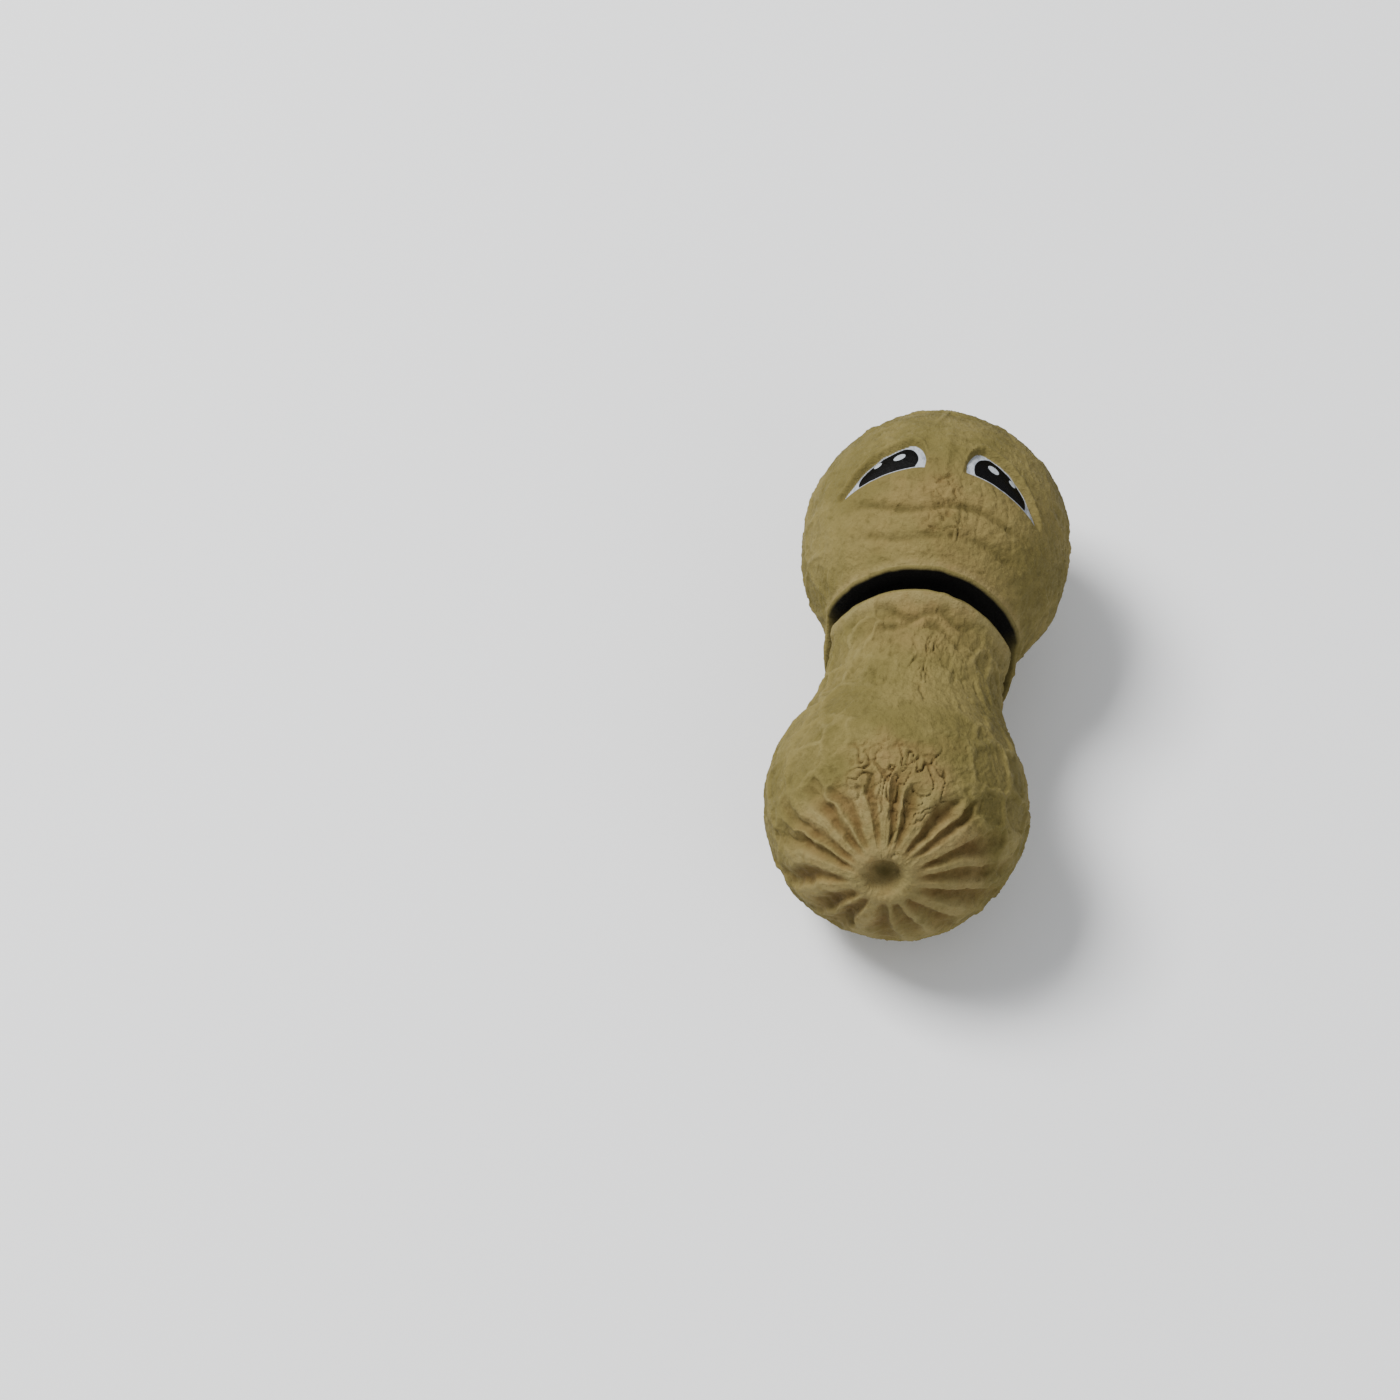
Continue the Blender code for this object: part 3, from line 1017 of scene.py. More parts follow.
@dataclass(frozen=True)
class ShellRelief:
    """Geometry Nodes that lay the shell's net of ribs, its lumps and its stucco over a smooth mesh.

    The fields are the tree's named inputs, and the class's own values are the same on every piece.
    """

    cell: float = 2.9 * MM
    rib_width: float = 0.13
    rib_height: float = 0.24 * MM
    warp: float = 0.40 * MM
    lump: float = 3.6 * MM
    lump_height: float = 0.07 * MM
    worm: float = 1.1 * MM
    worm_height: float = 0.05 * MM
    grain: float = 0.36 * MM
    grain_height: float = 0.085 * MM
    seed: float = 3.0

    rib_level: ClassVar[float] = 0.35
    rib_crest: ClassVar[float] = 0.02
    cell_randomness: ClassVar[float] = 0.75
    warp_cells: ClassVar[float] = 0.7
    warp_gain: ClassVar[float] = 4.0
    patch_cells: ClassVar[float] = 1.5
    patch_levels: ClassVar[Span] = (0.38, 0.60)
    lowest_rib: ClassVar[float] = 0.45
    worm_level: ClassVar[float] = 0.30
    worm_gain: ClassVar[float] = 4.0
    worm_edge: ClassVar[float] = 0.45

    def named_inputs(self) -> dict[str, float]:
        """The tree's inputs and their values."""
        return {field.name.replace("_", " ").title(): getattr(self, field.name) for field in fields(self)}

    def tree(self, name: str) -> bpy.types.NodeTree:
        """Builds the tree.

        Args:
            name: The tree's name.

        Returns:
            The node group, with Geometry and Material inputs before the sizes.
        """
        group = bpy.data.node_groups.new(name, "GeometryNodeTree")
        bench = ReliefBench(group, list(self.named_inputs()))
        given = bench.given
        coarse = bench.math(
            "ADD",
            bench.above(self._rib(bench), self.rib_level, given["Rib Height"]),
            bench.either_way(bench.noise(given["Lump"], detail=1.0, shift=3.0), given["Lump Height"]),
        )
        fine = bench.math(
            "ADD",
            bench.above(self._worms(bench), self.worm_level, given["Worm Height"]),
            bench.either_way(bench.noise(given["Grain"], detail=3.0, shift=9.0), given["Grain Height"]),
        )
        net = bench.product(coarse, bench.mark(Mark.NET))
        stucco = bench.product(fine, bench.mark(Mark.GRAINY))
        rise = bench.math("ADD", net, stucco)
        share = bench.math("DIVIDE", rise, given["Rib Height"])
        kept = bench.add(
            "GeometryNodeStoreNamedAttribute",
            {"Geometry": given["Geometry"], "Name": Mark.RISE.value, "Value": share},
            data_type="FLOAT",
            domain="POINT",
        )
        offset = bench.scaled(bench.add("GeometryNodeInputNormal").outputs[0], rise)
        moved = bench.add("GeometryNodeSetPosition", {"Geometry": kept.outputs[0], "Offset": offset})
        x, y, z = bench.add("ShaderNodeSeparateXYZ", {0: bench.place}).outputs
        above_floor = {0: x, 1: y, 2: bench.math("MAXIMUM", z, 0.0)}
        level = bench.add("ShaderNodeCombineXYZ", above_floor).outputs[0]
        settled = bench.add("GeometryNodeSetPosition", {"Geometry": moved.outputs[0], "Position": level})
        real = bench.add("GeometryNodeRealizeInstances", {"Geometry": settled.outputs[0]})
        dressed = bench.add(
            "GeometryNodeSetMaterial", {"Geometry": real.outputs[0], "Material": given["Material"]}
        )
        bench.add("NodeGroupOutput", {"Geometry": dressed.outputs[0]})
        return group

    def _rib(self, bench: ReliefBench) -> Socket:
        """Makes the net, with some ribs lower than others.

        Args:
            bench: The tree's bench.

        Returns:
            1 on a rib and 0 on a cell's floor.
        """
        cell = bench.given["Cell"]
        swirl = bench.noise(bench.product(cell, self.warp_cells), detail=2.0, shift=0.0, output="Color")
        push = bench.vector("SUBTRACT", swirl, (0.5, 0.5, 0.5))
        push = bench.scaled(push, bench.product(bench.given["Warp"], self.warp_gain))
        cells = bench.add(
            "ShaderNodeTexVoronoi",
            {
                "Vector": bench.vector("ADD", bench.place, push),
                "Scale": bench.math("DIVIDE", 1.0, cell),
                "Randomness": self.cell_randomness,
            },
            feature="DISTANCE_TO_EDGE",
        )
        distance = cells.outputs["Distance"]
        rib = bench.remap(distance, self.rib_crest, bench.given["Rib Width"], 1.0, 0.0)
        patchy = bench.noise(bench.product(cell, self.patch_cells), detail=1.0, shift=5.0)
        return bench.product(rib, bench.remap(patchy, *self.patch_levels, self.lowest_rib, 1.0))

    def _worms(self, bench: ReliefBench) -> Socket:
        """Thin winding lines: 1 on a line and 0 beside it."""
        signed = bench.either_way(bench.noise(bench.given["Worm"], detail=1.0, shift=7.0), self.worm_gain)
        return bench.remap(bench.math("ABSOLUTE", signed), 0.0, self.worm_edge, 1.0, 0.0)

    def bake(self, smooth: bpy.types.Object, material: bpy.types.Material) -> bpy.types.Object:
        """Runs the tree on a mesh and keeps the result as a plain mesh.

        Args:
            smooth: The object with the smooth mesh, which is used up.
            material: The finish.

        Returns:
            The new object, under the same name.
        """
        name = smooth.name
        group = self.tree(f"{name}_relief")
        modifier = smooth.modifiers.new("relief", "NODES")
        modifier.node_group = group
        values = {**self.named_inputs(), "Material": material}
        for socket in group.interface.items_tree:
            if socket.in_out == "INPUT" and socket.name in values:
                modifier[socket.identifier] = values[socket.name]
        smooth.update_tag()
        graph = bpy.context.evaluated_depsgraph_get()
        mesh = bpy.data.meshes.new_from_object(
            smooth.evaluated_get(graph), preserve_all_data_layers=True, depsgraph=graph
        )
        smooth.modifiers.remove(modifier)
        bpy.data.objects.remove(smooth, do_unlink=True)
        mesh.name = name
        mesh.shade_smooth()
        piece = bpy.data.objects.new(name, mesh)
        bpy.context.scene.collection.objects.link(piece)
        return piece


@dataclass(frozen=True)
class Mottle:
    """Patches of a noise, which turns from least to most as it goes from low to high."""

    width: float
    detail: float
    low: float
    high: float
    least: float = 0.0
    most: float = 1.0
    stretch: Triple = (1.0, 1.0, 1.0)


@dataclass(frozen=True)
class Ramp:
    """How thickly a colour lies by the value of a mark: not at all at start, and most at full."""

    start: float
    full: float
    most: float = 1.0


class PaintBench(NodeBench):
    """A bench for a finish that lies on a piece's own coordinates, one layer over another."""

    noise_roughness: ClassVar[float] = 0.6

    def __init__(self, tree: bpy.types.NodeTree, ground: Triple) -> None:
        """Starts a finish.

        Args:
            tree: The material's tree.
            ground: The colour of the lowest layer.
        """
        super().__init__(tree)
        self.place = self.add("ShaderNodeTexCoord").outputs["Object"]
        self.colour: object = (*ground, 1.0)

    def noise(self, size: float, detail: float, stretch: Triple = (1.0, 1.0, 1.0)) -> Socket:
        """Makes a noise on the piece.

        Args:
            size: Width of its lumps.
            detail: How many finer layers it has.
            stretch: Draws it out along an axis where under 1.

        Returns:
            Values from 0 to 1.
        """
        mapped = self.add("ShaderNodeMapping", {"Vector": self.place, "Scale": stretch}).outputs[0]
        inputs = {
            "Vector": mapped,
            "Scale": 1.0 / size,
            "Detail": detail,
            "Roughness": self.noise_roughness,
        }
        return self.add("ShaderNodeTexNoise", inputs).outputs["Fac"]

    def mottled(self, mottle: Mottle) -> Socket:
        """Patches as a mottle gives them."""
        patches = self.noise(mottle.width, mottle.detail, mottle.stretch)
        return self.remap(patches, mottle.low, mottle.high, mottle.least, mottle.most)

    def mark(self, which: Mark) -> Socket:
        """One of the values kept on the mesh's points."""
        return self.add("ShaderNodeAttribute", attribute_name=which.value).outputs["Fac"]

    def ramped(self, which: Mark, ramp: Ramp) -> Socket:
        """A mark's value turned into a thickness."""
        return self.remap(self.mark(which), ramp.start, ramp.full, 0.0, ramp.most)

    def layer(self, share: object, colour: Triple) -> None:
        """Lays a colour over what is there, as thickly as share says."""
        inputs = {0: share, 6: self.colour, 7: (*colour, 1.0)}
        self.colour = self.add("ShaderNodeMix", inputs, data_type="RGBA").outputs[2]


@dataclass(frozen=True)
class ShellPaint:
    """Matte olive-tan paint: mottled, painted shade where it sinks, painted highlights on ribs, red-brown
    painted shade in grooves.
    """

    olive: Triple = (0.129, 0.105, 0.032)
    tan: Triple = (0.173, 0.139, 0.047)
    # a warmer tan: the muzzle's and patches' own tint, and painted light on the body's top and the lip
    # rims
    warm_tan: Triple = (0.196, 0.136, 0.052)
    # dark brown for dirt and specks, and for painted shade in the net's cells and in hollows
    shade: Triple = (0.046, 0.036, 0.0085)
    # red-brown for the patches' rust tint and for painted shade in the star's grooves
    rust: Triple = (0.092, 0.050, 0.014)
    # pale tan for painted highlights on the ribs, the star's ridges and the lip rims
    chalk: Triple = (0.235, 0.195, 0.082)
    slit_black: Triple = (0.003, 0.0026, 0.0022)
    eye_white: Triple = (0.400, 0.425, 0.460)
    eye_streak: Triple = (0.190, 0.205, 0.245)
    pupil_black: Triple = (0.0004, 0.0004, 0.0005)
    glint_white: Triple = (0.380, 0.410, 0.440)
    tan_patches: Mottle = Mottle(5.0 * MM, 3.0, 0.38, 0.62)
    warm_patches: Mottle = Mottle(2.4 * MM, 3.0, 0.30, 0.65, 0.25, 0.85)
    rust_patches: Mottle = Mottle(1.6 * MM, 2.0, 0.30, 0.65, 0.40, 1.0)
    wear_patches: Mottle = Mottle(0.9 * MM, 3.0, 0.30, 0.60, 0.20, 0.80)
    dirt: Mottle = Mottle(0.8 * MM, 5.0, 0.50, 0.70, 0.0, 0.30)
    specks: Mottle = Mottle(0.16 * MM, 2.0, 0.60, 0.74, 0.0, 0.35)
    eye_streaks: Mottle = Mottle(0.35 * MM, 3.0, 0.42, 0.68, 0.0, 0.80, (1.0, 0.35, 0.35))
    # painted shade in the net's low cells and painted highlights on its ribs, by the relief's rise
    cell_shade: Ramp = Ramp(-0.10, -0.75, 0.40)
    rib_chalk: Ramp = Ramp(0.10, 0.90, 0.36)
    # painted shade in hollows
    sunk_shade: Ramp = Ramp(0.0, 1.0, 0.80)
    white_edge: Ramp = Ramp(-0.02, 0.06)
    pupil_edge: Ramp = Ramp(-0.015, 0.03)
    roughness: Mottle = Mottle(1.2 * MM, 2.0, 0.30, 0.70, 0.78, 0.92)
    pupil_gloss: float = 0.29
    specular: float = 0.10
    grain: float = 0.20 * MM
    grain_share: float = 0.6
    coarse_grain: float = 0.50 * MM
    bump_strength: float = 0.85
    bump_depth: float = 0.15 * MM

    def material(self, name: str, with_eyes: bool) -> bpy.types.Material:
        """Builds the paint.

        Args:
            name: The material's name.
            with_eyes: Whether the piece has the eye paint on it.

        Returns:
            The material.
        """
        made = bpy.data.materials.new(name)
        made.use_nodes = True
        tree = made.node_tree
        shader = tree.nodes["Principled BSDF"]
        bench = PaintBench(tree, self.olive)
        self._lay_shell_colours(bench)
        rough = bench.mottled(self.roughness)
        if with_eyes:
            in_pupil = self._lay_eye_colours(bench)
            rough = bench.math("SUBTRACT", rough, bench.product(in_pupil, self.pupil_gloss))
        tree.links.new(bench.colour, shader.inputs["Base Color"])
        tree.links.new(rough, shader.inputs["Roughness"])
        shader.inputs["Specular IOR Level"].default_value = self.specular
        fine = bench.product(bench.noise(self.grain, detail=4.0), self.grain_share)
        height = bench.math("ADD", bench.noise(self.coarse_grain, detail=3.0), fine)
        inputs = {"Strength": self.bump_strength, "Distance": self.bump_depth, "Height": height}
        tree.links.new(bench.add("ShaderNodeBump", inputs).outputs["Normal"], shader.inputs["Normal"])
        return made

    def _lay_shell_colours(self, bench: PaintBench) -> None:
        """Lays the mottling, a warmer tint with painted light on top, dirt, painted shade on the net's
        lows and painted highlights on its highs, painted shade in hollows, rust with red-brown painted
        shade in grooves, painted highlights on ridges and rims, specks and the slit's black.

        Args:
            bench: The paint's bench.
        """
        bench.layer(bench.mottled(self.tan_patches), self.tan)
        # a warmer tint, which is also painted light towards the top
        bench.layer(bench.product(bench.mark(Mark.WARM), bench.mottled(self.warm_patches)), self.warm_tan)
        bench.layer(bench.mottled(self.dirt), self.shade)
        # painted shade in the net's cells, then painted highlights on its ribs
        bench.layer(bench.ramped(Mark.RISE, self.cell_shade), self.shade)
        bench.layer(bench.ramped(Mark.RISE, self.rib_chalk), self.chalk)
        # painted shade in hollows
        bench.layer(bench.ramped(Mark.SUNK, self.sunk_shade), self.shade)
        # rust tint of the patches, and red-brown painted shade in the grooves
        bench.layer(bench.product(bench.mark(Mark.RUSTY), bench.mottled(self.rust_patches)), self.rust)
        # painted highlights on the star's ridges and the lip rims, broken into patches
        bench.layer(bench.product(bench.mark(Mark.WORN), bench.mottled(self.wear_patches)), self.chalk)
        bench.layer(bench.mottled(self.specks), self.shade)
        bench.layer(bench.mark(Mark.SLIT), self.slit_black)

    def _lay_eye_colours(self, bench: PaintBench) -> Socket:
        """Lays the streaky white, the pupil and its two glints.

        Args:
            bench: The paint's bench.

        Returns:
            1 in the pupil and 0 outside it.
        """
        white = bench.ramped(Mark.EYE, self.white_edge)
        bench.layer(white, self.eye_white)
        bench.layer(bench.product(white, bench.mottled(self.eye_streaks)), self.eye_streak)
        in_pupil = bench.ramped(Mark.PUPIL, self.pupil_edge)
        bench.layer(in_pupil, self.pupil_black)
        bench.layer(bench.ramped(Mark.GLINT, self.pupil_edge), self.glint_white)
        return in_pupil


@dataclass(kw_only=True)
class ShellPiece:
    """What the two pieces share: the columns, the lip beside the slit and the black face inside it.

    A flattening takes that share of the net's relief away, and the rim's painted highlights, one pale and
    one warmer, are shares of paint.
    The lip blackens past black_turn, an angle of its rounding in radians.
    """

    outline: Outline
    relief: ShellRelief
    columns: int = 430
    lip_rounding: float = 0.30 * MM
    lip_rows: int = 5
    black_turn: float = 0.8
    least_black: float = 0.0
    inner_rows: int = 7
    seam_fading: float = 0.75
    rim_height: float = 0.10 * MM
    rim_width: float = 0.30 * MM
    rim_flattening: float = 0.5
    # painted highlights on the raised rim beside the slit, one pale and one warmer
    rim_wear: float = 0.55
    rim_warmth: float = 0.5
    shade_depth: float = 0.40 * MM
    creases: tuple[Crease, ...] = ()
    patches: tuple[Crumple, ...] = ()

    side: ClassVar[int] = 1

    def rim(self, y: Field, angle: Field) -> Field:
        """Reads the raised rim beside the slit.

        Args:
            y: Places along the long axis.
            angle: Angles round it.

        Returns:
            A mask from 0 to 1.
        """
        from_lip = self.side * (y - self.outline.lip_y(angle, self.side))
        return hump(from_lip - self.rim_width, self.rim_width) * self.outline.face_side(angle)

    def creased(self, across: Field, along: Field) -> Field:
        """How deep the piece's creases are at each place."""
        return sum(crease.at(across, along) for crease in self.creases)

    def slit_shade(self, angle: Field) -> Field:
        """How black the slit's inner faces are: fully in front, and less in the seam past its ends."""
        return 1.0 - self.seam_fading * self.outline.seam_closing(angle)

    def black(self, rings: Rings) -> dict[Mark, Field]:
        """The marks of a hidden row inside the slit."""
        return {Mark.SLIT: self.slit_shade(rings.angle), Mark.SUNK: np.ones(self.columns)}

    def add_slit_faces(self, rings: Rings, lip_y: Field, edge_radius: Field, core_radius: float) -> None:
        """Rounds the lip, then runs over the piece's face inside the slit.

        Args:
            rings: The rings, with the outside's last row before the lip.
            lip_y: The lip's places along Y.
            edge_radius: The last row's distances from the long axis.
            core_radius: Radius of the peg or the socket, where the face ends.
        """
        o = self.outline
        quarter = math.pi / 2
        for row in range(1, self.lip_rows + 1):
            turn = quarter * row / self.lip_rows
            y = lip_y + self.side * self.lip_rounding * (1.0 - math.sin(turn))
            radius = edge_radius - self.lip_rounding * (1.0 - math.cos(turn))
            blackening = max(turn - self.black_turn, 0.0) / (quarter - self.black_turn)
            shade = self.least_black + (1.0 - self.least_black) * blackening
            rings.add(rings.round_axis(y, radius), {Mark.SLIT: shade * self.slit_shade(rings.angle)})
        for row in range(1, self.inner_rows + 1):
            reached = radius + (core_radius - radius) * row / self.inner_rows
            y = o.seam_surface_y(reached, rings.angle) + self.side * o.seam_gap_at(rings.angle) / 2
            rings.add(rings.round_axis(y, reached), self.black(rings))


@dataclass(kw_only=True)
class HeadPiece(ShellPiece):
    """The head lobe with the face and its wrinkled nose patch, the upper lip, the tongue and the socket.

    Along the head, places are lengths from its middle towards the crown.
    """

    face: ToyFace
    cap_rows: int = 96
    cap_crowding: float = 0.35
    side_rows: int = 96
    least_black: float = 0.15
    eye_margin: Span = (-0.25, 0.05)
    cheek_folds: Folds = Folds(-7.0 * MM, 0.4 * MM, 0.13 * MM, stretch=(1.0, 0.6, 1.0), shift=2.0)
    cheek_reach: float = 9.0 * MM
    muzzle_width: float = 6.0 * MM
    muzzle_top: Span = (-1.0 * MM, 2.0 * MM)
    muzzle_flattening: float = 0.75
    muzzle_warmth: float = 0.7
    front_angles: Span = (1.5, 0.8)
    front_top: Span = (7.5 * MM, 4.0 * MM)
    front_flattening: float = 0.6
    creases: tuple[Crease, ...] = (
        Crease(0.0, -3.0 * MM, 8.5 * MM, 0.36 * MM, 0.24 * MM, sway=0.35 * MM, waves=700.0),
        Crease(0.4 * MM, -5.2 * MM, 8.0 * MM, 0.40 * MM, 0.20 * MM, sway=0.30 * MM, waves=620.0),
    )
    patches: tuple[Crumple, ...] = (
        Crumple(0.0, -1.8 * MM, 1.9 * MM, 1.5 * MM, 0.30 * MM, 0.9 * MM, shift=3.0, rusty=0.55),
        Crumple(0.0, -4.4 * MM, 2.0 * MM, 1.3 * MM, 0.30 * MM, 0.8 * MM, shift=8.0, rusty=0.55),
    )

    def build(self, material: bpy.types.Material) -> bpy.types.Object:
        """Makes the head's mesh.

        Args:
            material: Its finish.

        Returns:
            The finished piece.
        """
        o = self.outline
        rings = Rings(o, self.columns)
        for row in range(1, self.cap_rows + 1):
            share = row / self.cap_rows
            polar = math.pi / 2 * share * (1.0 + self.cap_crowding * (1.0 - share))
            y = o.head_y + o.head_radius * math.cos(polar)
            radius = o.head_radius * math.sin(polar)
            sunk, marks = self._surface(rings, rings.round_axis(y, radius))
            pulled = 1.0 - sunk / o.head_radius
            rings.add(rings.round_axis(o.head_y + (y - o.head_y) * pulled, radius * pulled), marks)
        lip_y = o.lip_y(rings.angle, self.side)
        for row in range(1, self.side_rows + 1):
            y = o.head_y + (lip_y + self.lip_rounding - o.head_y) * row / self.side_rows
            radius = o.head_side_radius(y, rings.angle)
            sunk, marks = self._surface(rings, rings.round_axis(y, radius))
            rings.add(rings.round_axis(y, radius - sunk), marks)
        socket = o.peg_radius + o.peg_clearance
        self.add_slit_faces(rings, lip_y, radius - sunk, socket)
        ceiling = o.peg_top_y + o.peg_clearance
        rings.add(rings.round_axis(ceiling, socket), self.black(rings))
        rings.add(rings.round_axis(ceiling, socket / 2), self.black(rings))
        return self.relief.bake(rings.to_object("head_shell"), material)

    def _surface(self, rings: Rings, smooth: Field) -> tuple[Field, dict[Mark, Field]]:
        """Reads the relief and the marks on one ring of the outside.

        Args:
            rings: The rings so far.
            smooth: The ring's points before any relief.

        Returns:
            How far the surface sinks, and the marks.
        """
        o = self.outline
        angle, y = rings.angle, smooth[:, 1]
        sunk, marks = self.face.at(angle, y, smooth)
        off = wrapped(angle)
        across, along = off * o.head_radius, y - o.head_y
        off_eye = 1.0 - smooth_step(*self.eye_margin, marks[Mark.EYE])
        on_cheek = 1.0 - smooth_step(self.cheek_reach / 2, self.cheek_reach, np.abs(across))
        pressed = self.cheek_folds.at(along, smooth) * on_cheek + self.creased(across, along)
        rust = np.zeros(len(angle))
        for patch in self.patches:
            depth, wrinkles, _ = patch.at(across, along, smooth)
            pressed = pressed + depth
            rust = np.maximum(rust, patch.rusty * wrinkles)
        rim = self.rim(y, angle)
        pressed = pressed * off_eye - self.rim_height * rim
        muzzle = hump(across, self.muzzle_width) * (1.0 - smooth_step(*self.muzzle_top, along))
        front = smooth_step(*self.front_angles, np.abs(off)) * smooth_step(*self.front_top, along)
        net = (1.0 - self.rim_flattening * rim) * (1.0 - self.muzzle_flattening * muzzle)
        # painted shade in creases and wrinkles
        marks[Mark.SUNK] = np.clip(pressed / self.shade_depth, 0.0, 1.0)
        marks[Mark.RUSTY] = rust
        # painted highlights, pale and warmer, on the lip's raised rim
        marks[Mark.WORN] = self.rim_wear * rim
        marks[Mark.WARM] = np.clip(self.muzzle_warmth * muzzle + self.rim_warmth * rim, 0.0, 1.0)
        marks[Mark.NET] = off_eye * net * (1.0 - self.front_flattening * front)
        marks[Mark.GRAINY] = off_eye
        return sunk + pressed, marks


@dataclass(kw_only=True)
class BodyPiece(ShellPiece):
    """The body lobe with the star and the dimple, the neck, the lower lip and the hidden peg.

    Along the body, places are lengths from its middle towards the head. Heights are shares of the
    lobe's own height.
    """

    star: Star
    lobe_rows: int = 146
    neck_rows: int = 62
    lip_rounding: float = 0.34 * MM
    black_turn: float = 1.0
    peg_chamfer: float = 0.5 * MM
    peg_black: float = 0.35
    peg_rust: float = 0.8
    rim_height: float = 0.16 * MM
    rim_width: float = 0.55 * MM
    rim_wear: float = 0.7
    rim_warmth: float = 0.4
    rim_smoothing: float = 0.4
    star_edge: Span = (math.radians(38.0), math.radians(56.0))
    star_net: float = 0.15
    dimple_smoothing: float = 0.6
    dimple_shade: float = 0.85
    groove_shade: float = 0.32
    groove_shade_power: int = 3
    # red-brown painted shade in the star's grooves
    groove_rust: float = 0.64
    ridge_narrowness: float = 1.6
    # painted highlight on the star's ridges
    ridge_wear: float = 0.60
    ridge_end: float = 1.0
    patch_floor: float = 0.3
    wrinkle_shade: float = 0.32
    wrinkle_filling: float = 0.35
    middle_width: float = 5.0 * MM
    middle_heights: Span = (0.3, 0.8)
    middle_flattening: float = 0.8
    # painted light: a warmer, lighter tan towards the top of the lobe
    glow_heights: Span = (0.4, 0.8)
    least_glow: float = 0.45
    neck_glow: Span = (7.5 * MM, 12.0 * MM)
    neck_folds: Folds = Folds(5.0 * MM, 13.2 * MM, 0.16 * MM, size=0.8 * MM)
    creases: tuple[Crease, ...] = (
        Crease(0.0, 12.3 * MM, 6.5 * MM, 0.30 * MM, 0.24 * MM, sway=0.40 * MM, waves=1100.0),
        Crease(2.6 * MM, 11.1 * MM, 2.6 * MM, 0.28 * MM, 0.20 * MM, -0.25, 0.2 * MM, waves=1500.0),
        Crease(-3.0 * MM, 11.3 * MM, 2.2 * MM, 0.28 * MM, 0.16 * MM, 0.2, 0.2 * MM, waves=1500.0),
    )
    patches: tuple[Crumple, ...] = (
        Crumple(0.3 * MM, -2.8 * MM, 4.6 * MM, 4.2 * MM, 0.48 * MM, 1.4 * MM),
        Crumple(0.8 * MM, 10.6 * MM, 2.0 * MM, 2.4 * MM, 0.30 * MM, 1.2 * MM, shift=13.0, rusty=0.3),
        Crumple(0.5 * MM, 6.6 * MM, 1.4 * MM, 3.8 * MM, 0.28 * MM, 1.2 * MM, shift=25.0, rusty=0.15),
    )

    side: ClassVar[int] = -1

    def build(self, material: bpy.types.Material) -> bpy.types.Object:
        """Makes the body's mesh.

        Args:
            material: Its finish.

        Returns:
            The finished piece.
        """
        o = self.outline
        rings = Rings(o, self.columns)
        troughs = self.star.troughs()
        centre = np.array((0.0, o.body_y, o.body_radius - o.flat_depth))
        for row in range(1, self.lobe_rows + 1):
            polar = o.lobe_end_angle * row / self.lobe_rows
            direction = self._direction(polar, rings.angle)
            sunk, marks = self._surface(rings, centre + direction * o.body_radius, polar, troughs)
            rings.add(centre + direction * (o.body_radius - sunk)[:, None], marks)
        lip_y = o.lip_y(rings.angle, self.side)
        for row in range(1, self.neck_rows + 1):
            y = o.neck_start_y + (lip_y - self.lip_rounding - o.neck_start_y) * row / self.neck_rows
            radius = o.neck_radius(y)
            sunk, marks = self._surface(rings, rings.round_axis(y, radius), math.pi, troughs)
            rings.add(rings.round_axis(y, radius - sunk), marks)
        self.add_slit_faces(rings, lip_y, radius - sunk, o.peg_radius)
        bare = {
            Mark.SLIT: np.full(self.columns, self.peg_black),
            Mark.RUSTY: np.full(self.columns, self.peg_rust),
        }
        rings.add(rings.round_axis(o.peg_top_y - self.peg_chamfer, o.peg_radius), bare)
        rings.add(rings.round_axis(o.peg_top_y, o.peg_radius - self.peg_chamfer), bare)
        return self.relief.bake(rings.to_object("body_shell"), material)

    def _direction(self, polar: float, angle: Field) -> Field:
        """Points out of the lobe's middle to one ring, which tilts up towards the near end.

        Args:
            polar: The ring's angle from the middle of the dimple.
            angle: The points' angles round it.

        Returns:
            One direction for each point.
        """
        o = self.outline
        fade = float(smooth_step(o.star_tilt_inner, o.star_tilt_outer, np.array(polar)))
        tilt = o.star_tilt * (1.0 - fade)
        outward = np.array((0.0, -math.cos(tilt), math.sin(tilt)))
        upward = np.array((0.0, math.sin(tilt), math.cos(tilt)))
        sideways = np.array((1.0, 0.0, 0.0))
        around = np.cos(angle)[:, None] * upward + np.sin(angle)[:, None] * sideways
        return outward * math.cos(polar) + around * math.sin(polar)

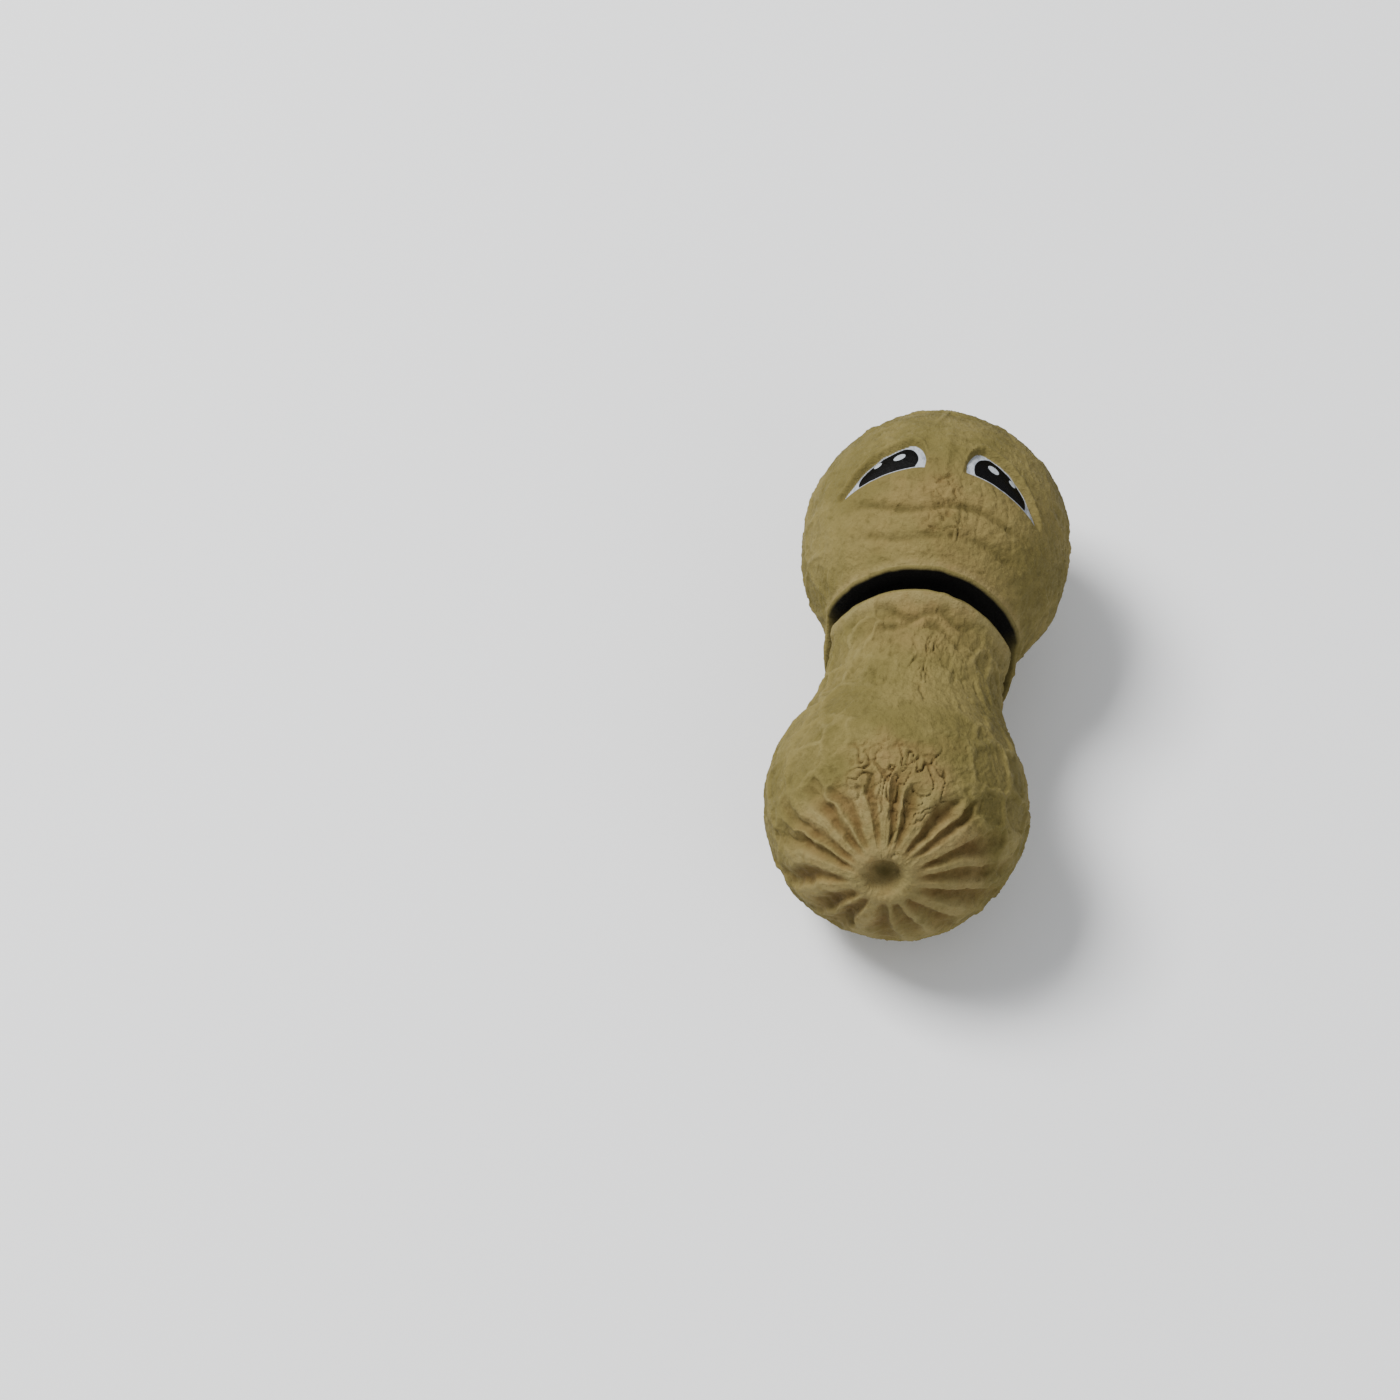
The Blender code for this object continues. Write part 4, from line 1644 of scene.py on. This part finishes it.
    def _surface(
        self, rings: Rings, smooth: Field, polar: float, troughs: list[Trough]
    ) -> tuple[Field, dict[Mark, Field]]:
        """Reads the relief and the marks on one ring of the outside.

        Args:
            rings: The rings so far.
            smooth: The ring's points before any relief.
            polar: The ring's angle from the middle of the dimple, or half a turn on the neck.
            troughs: The star's troughs.

        Returns:
            How far the surface sinks, and the marks.
        """
        o = self.outline
        angle, y = rings.angle, smooth[:, 1]
        across = wrapped(angle) * o.body_radius * math.sin(min(polar, math.pi / 2))
        along = y - o.body_y
        height = smooth[:, 2] / (2 * o.body_radius)
        star_depth, grooves = self.star.at(polar, angle, smooth, troughs)
        pressed = self.neck_folds.at(along, smooth) + self.creased(across, along)
        crushed, wrinkles, rust, patchy = np.zeros((4, len(angle)))
        for patch in self.patches:
            read = patch.at(across, along, smooth)
            depth, lines, inside = (field * (height > self.patch_floor) for field in read)
            crushed = crushed + depth
            wrinkles = np.maximum(wrinkles, lines)
            rust = np.maximum(rust, patch.rusty * lines)
            patchy = np.maximum(patchy, patch.rusty * inside)
        rim = self.rim(y, angle)
        sunk = star_depth * (1.0 - self.wrinkle_filling * wrinkles) + pressed + crushed
        dimple = 1.0 - smooth_step(0.0, self.star.dimple_angle, polar)
        off_star = smooth_step(*self.star_edge, polar)
        between = np.clip(1.0 - self.ridge_narrowness * grooves, 0.0, 1.0)
        ridges = between * (1.0 - off_star) * (1.0 - dimple)
        # painted highlights on the star's ridges and the lip's raised rim
        highlit = self.ridge_wear * ridges * (polar < self.ridge_end) + self.rim_wear * rim
        # painted shade in creases, wrinkles and grooves
        shaded = pressed / self.shade_depth + self.wrinkle_shade * wrinkles
        shaded = shaded + self.groove_shade * grooves**self.groove_shade_power
        upper_middle = hump(across, self.middle_width) * smooth_step(*self.middle_heights, height)
        # painted light: a warmer, lighter tan towards the top of the lobe and on the neck's upper middle
        glow = self.least_glow + (1.0 - self.least_glow) * smooth_step(*self.glow_heights, height)
        neck_glow = smooth_step(*self.neck_glow, along) * upper_middle
        warm = np.maximum.reduce((glow * (1.0 - off_star), neck_glow, patchy)) + self.rim_warmth * rim
        net = (self.star_net + (1.0 - self.star_net) * off_star) * (1.0 - self.rim_flattening * rim)
        return sunk - self.rim_height * rim, {
            Mark.SUNK: np.clip(np.maximum(shaded, self.dimple_shade * dimple), 0.0, 1.0),
            # red-brown painted shade in the grooves, with the patches' rust tint
            Mark.RUSTY: np.clip(np.maximum(self.groove_rust * grooves, rust), 0.0, 1.0),
            Mark.WORN: np.clip(highlit, 0.0, 1.0),
            Mark.WARM: np.clip(warm, 0.0, 1.0),
            Mark.NET: net * (1.0 - self.middle_flattening * upper_middle),
            Mark.GRAINY: (1.0 - self.dimple_smoothing * dimple) * (1.0 - self.rim_smoothing * rim),
        }


@dataclass(frozen=True)
class SoftLight:
    """A square soft light."""

    name: str
    place: Triple
    size: float
    power: float


@dataclass(frozen=True)
class Studio:
    """The pale floor, the soft light and the camera."""

    look_at: Triple
    azimuth: float = math.radians(9.5)
    elevation: float = math.radians(60.0)
    distance: float = 229.0 * MM
    lens: float = 80.0
    sensor: float = 36.0
    clip_start: float = 10.0 * MM
    right_of_centre: float = 16.0 * MM
    above_centre: float = 2.4 * MM
    floor_half: float = 1.5
    floor_colour: Triple = (0.86, 0.86, 0.86)
    floor_roughness: float = 0.95
    surround_colour: Triple = (0.93, 0.96, 1.0)
    surround_strength: float = 0.52
    lights: tuple[SoftLight, ...] = (
        SoftLight("key_light", (-0.34, 0.10, 0.52), size=0.24, power=6.6),
        SoftLight("fill_light", (0.45, -0.42, 0.36), size=0.50, power=1.3),
    )

    def build(self) -> None:
        """Makes the whole studio."""
        self._floor()
        self._world()
        self._camera()
        for light in self.lights:
            self._light(light)

    def _floor(self) -> None:
        """Lays a wide pale sheet under the figure."""
        half = self.floor_half
        mesh = bpy.data.meshes.new("floor")
        corners = [(-half, -half, 0), (half, -half, 0), (half, half, 0), (-half, half, 0)]
        mesh.from_pydata(corners, [], [(0, 1, 2, 3)])
        floor = bpy.data.objects.new("floor", mesh)
        bpy.context.scene.collection.objects.link(floor)
        pale = bpy.data.materials.new("floor_paper")
        pale.use_nodes = True
        shader = pale.node_tree.nodes["Principled BSDF"]
        shader.inputs["Base Color"].default_value = (*self.floor_colour, 1.0)
        shader.inputs["Roughness"].default_value = self.floor_roughness
        mesh.materials.append(pale)

    def _world(self) -> None:
        """Makes a plain pale surround."""
        world = bpy.data.worlds.new("surround")
        world.use_nodes = True
        shade = world.node_tree.nodes["Background"]
        shade.inputs["Color"].default_value = (*self.surround_colour, 1.0)
        shade.inputs["Strength"].default_value = self.surround_strength
        bpy.context.scene.world = world

    def _light(self, given: SoftLight) -> None:
        """Hangs a light that points at the figure.

        Args:
            given: The light.
        """
        light = bpy.data.lights.new(given.name, "AREA")
        light.size = given.size
        light.energy = given.power
        lamp = bpy.data.objects.new(given.name, light)
        lamp.location = given.place
        towards = Vector(self.look_at) - Vector(given.place)
        lamp.rotation_euler = towards.to_track_quat("-Z", "Y").to_euler()
        bpy.context.scene.collection.objects.link(lamp)

    def _camera(self) -> None:
        """Sets up the camera, with the figure to the right of the frame's middle."""
        lens = bpy.data.cameras.new("camera")
        lens.lens = self.lens
        lens.sensor_width = self.sensor
        lens.clip_start = self.clip_start
        camera = bpy.data.objects.new("camera", lens)
        flat = math.cos(self.elevation)
        back = Vector((
            math.sin(self.azimuth) * flat, -math.cos(self.azimuth) * flat, math.sin(self.elevation)
        ))
        turn = (-back).to_track_quat("-Z", "Y")
        right = turn @ Vector((1.0, 0.0, 0.0))
        upward = turn @ Vector((0.0, 1.0, 0.0))
        aim = Vector(self.look_at) - right * self.right_of_centre - upward * self.above_centre
        camera.location = aim + back * self.distance
        camera.rotation_mode = "QUATERNION"
        camera.rotation_quaternion = turn
        bpy.context.scene.collection.objects.link(camera)
        bpy.context.scene.camera = camera


def dress(piece: bpy.types.Object, node: str) -> None:
    """Puts a finished piece on the root body in place of its CAD node.

    Args:
        piece: The piece.
        node: The CAD node that it stands for.
    """
    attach(piece, "root")
    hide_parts(node)
    LOG.info("%s stands for %s, with %d faces", piece.name, node, len(piece.data.polygons))


def main() -> None:
    """Builds the studio, the head and the body."""
    logging.basicConfig(level=logging.INFO, format="%(name)s: %(message)s")
    low, high = CAD_BOX
    Studio(look_at=tuple((low + high) / 2)).build()
    outline = Outline.from_frame()
    paint = ShellPaint()
    smoother = ShellRelief(cell=3.2 * MM, rib_height=0.18 * MM, lump_height=0.05 * MM, seed=5.0)
    head = HeadPiece(outline=outline, relief=smoother, face=ToyFace(outline))
    dress(head.build(paint.material("head_paint", with_eyes=True)), "head")
    body = BodyPiece(outline=outline, relief=ShellRelief(), star=Star(outline.body_radius))
    dress(body.build(paint.material("body_paint", with_eyes=False)), "body")


if __name__ == "__main__":
    main()
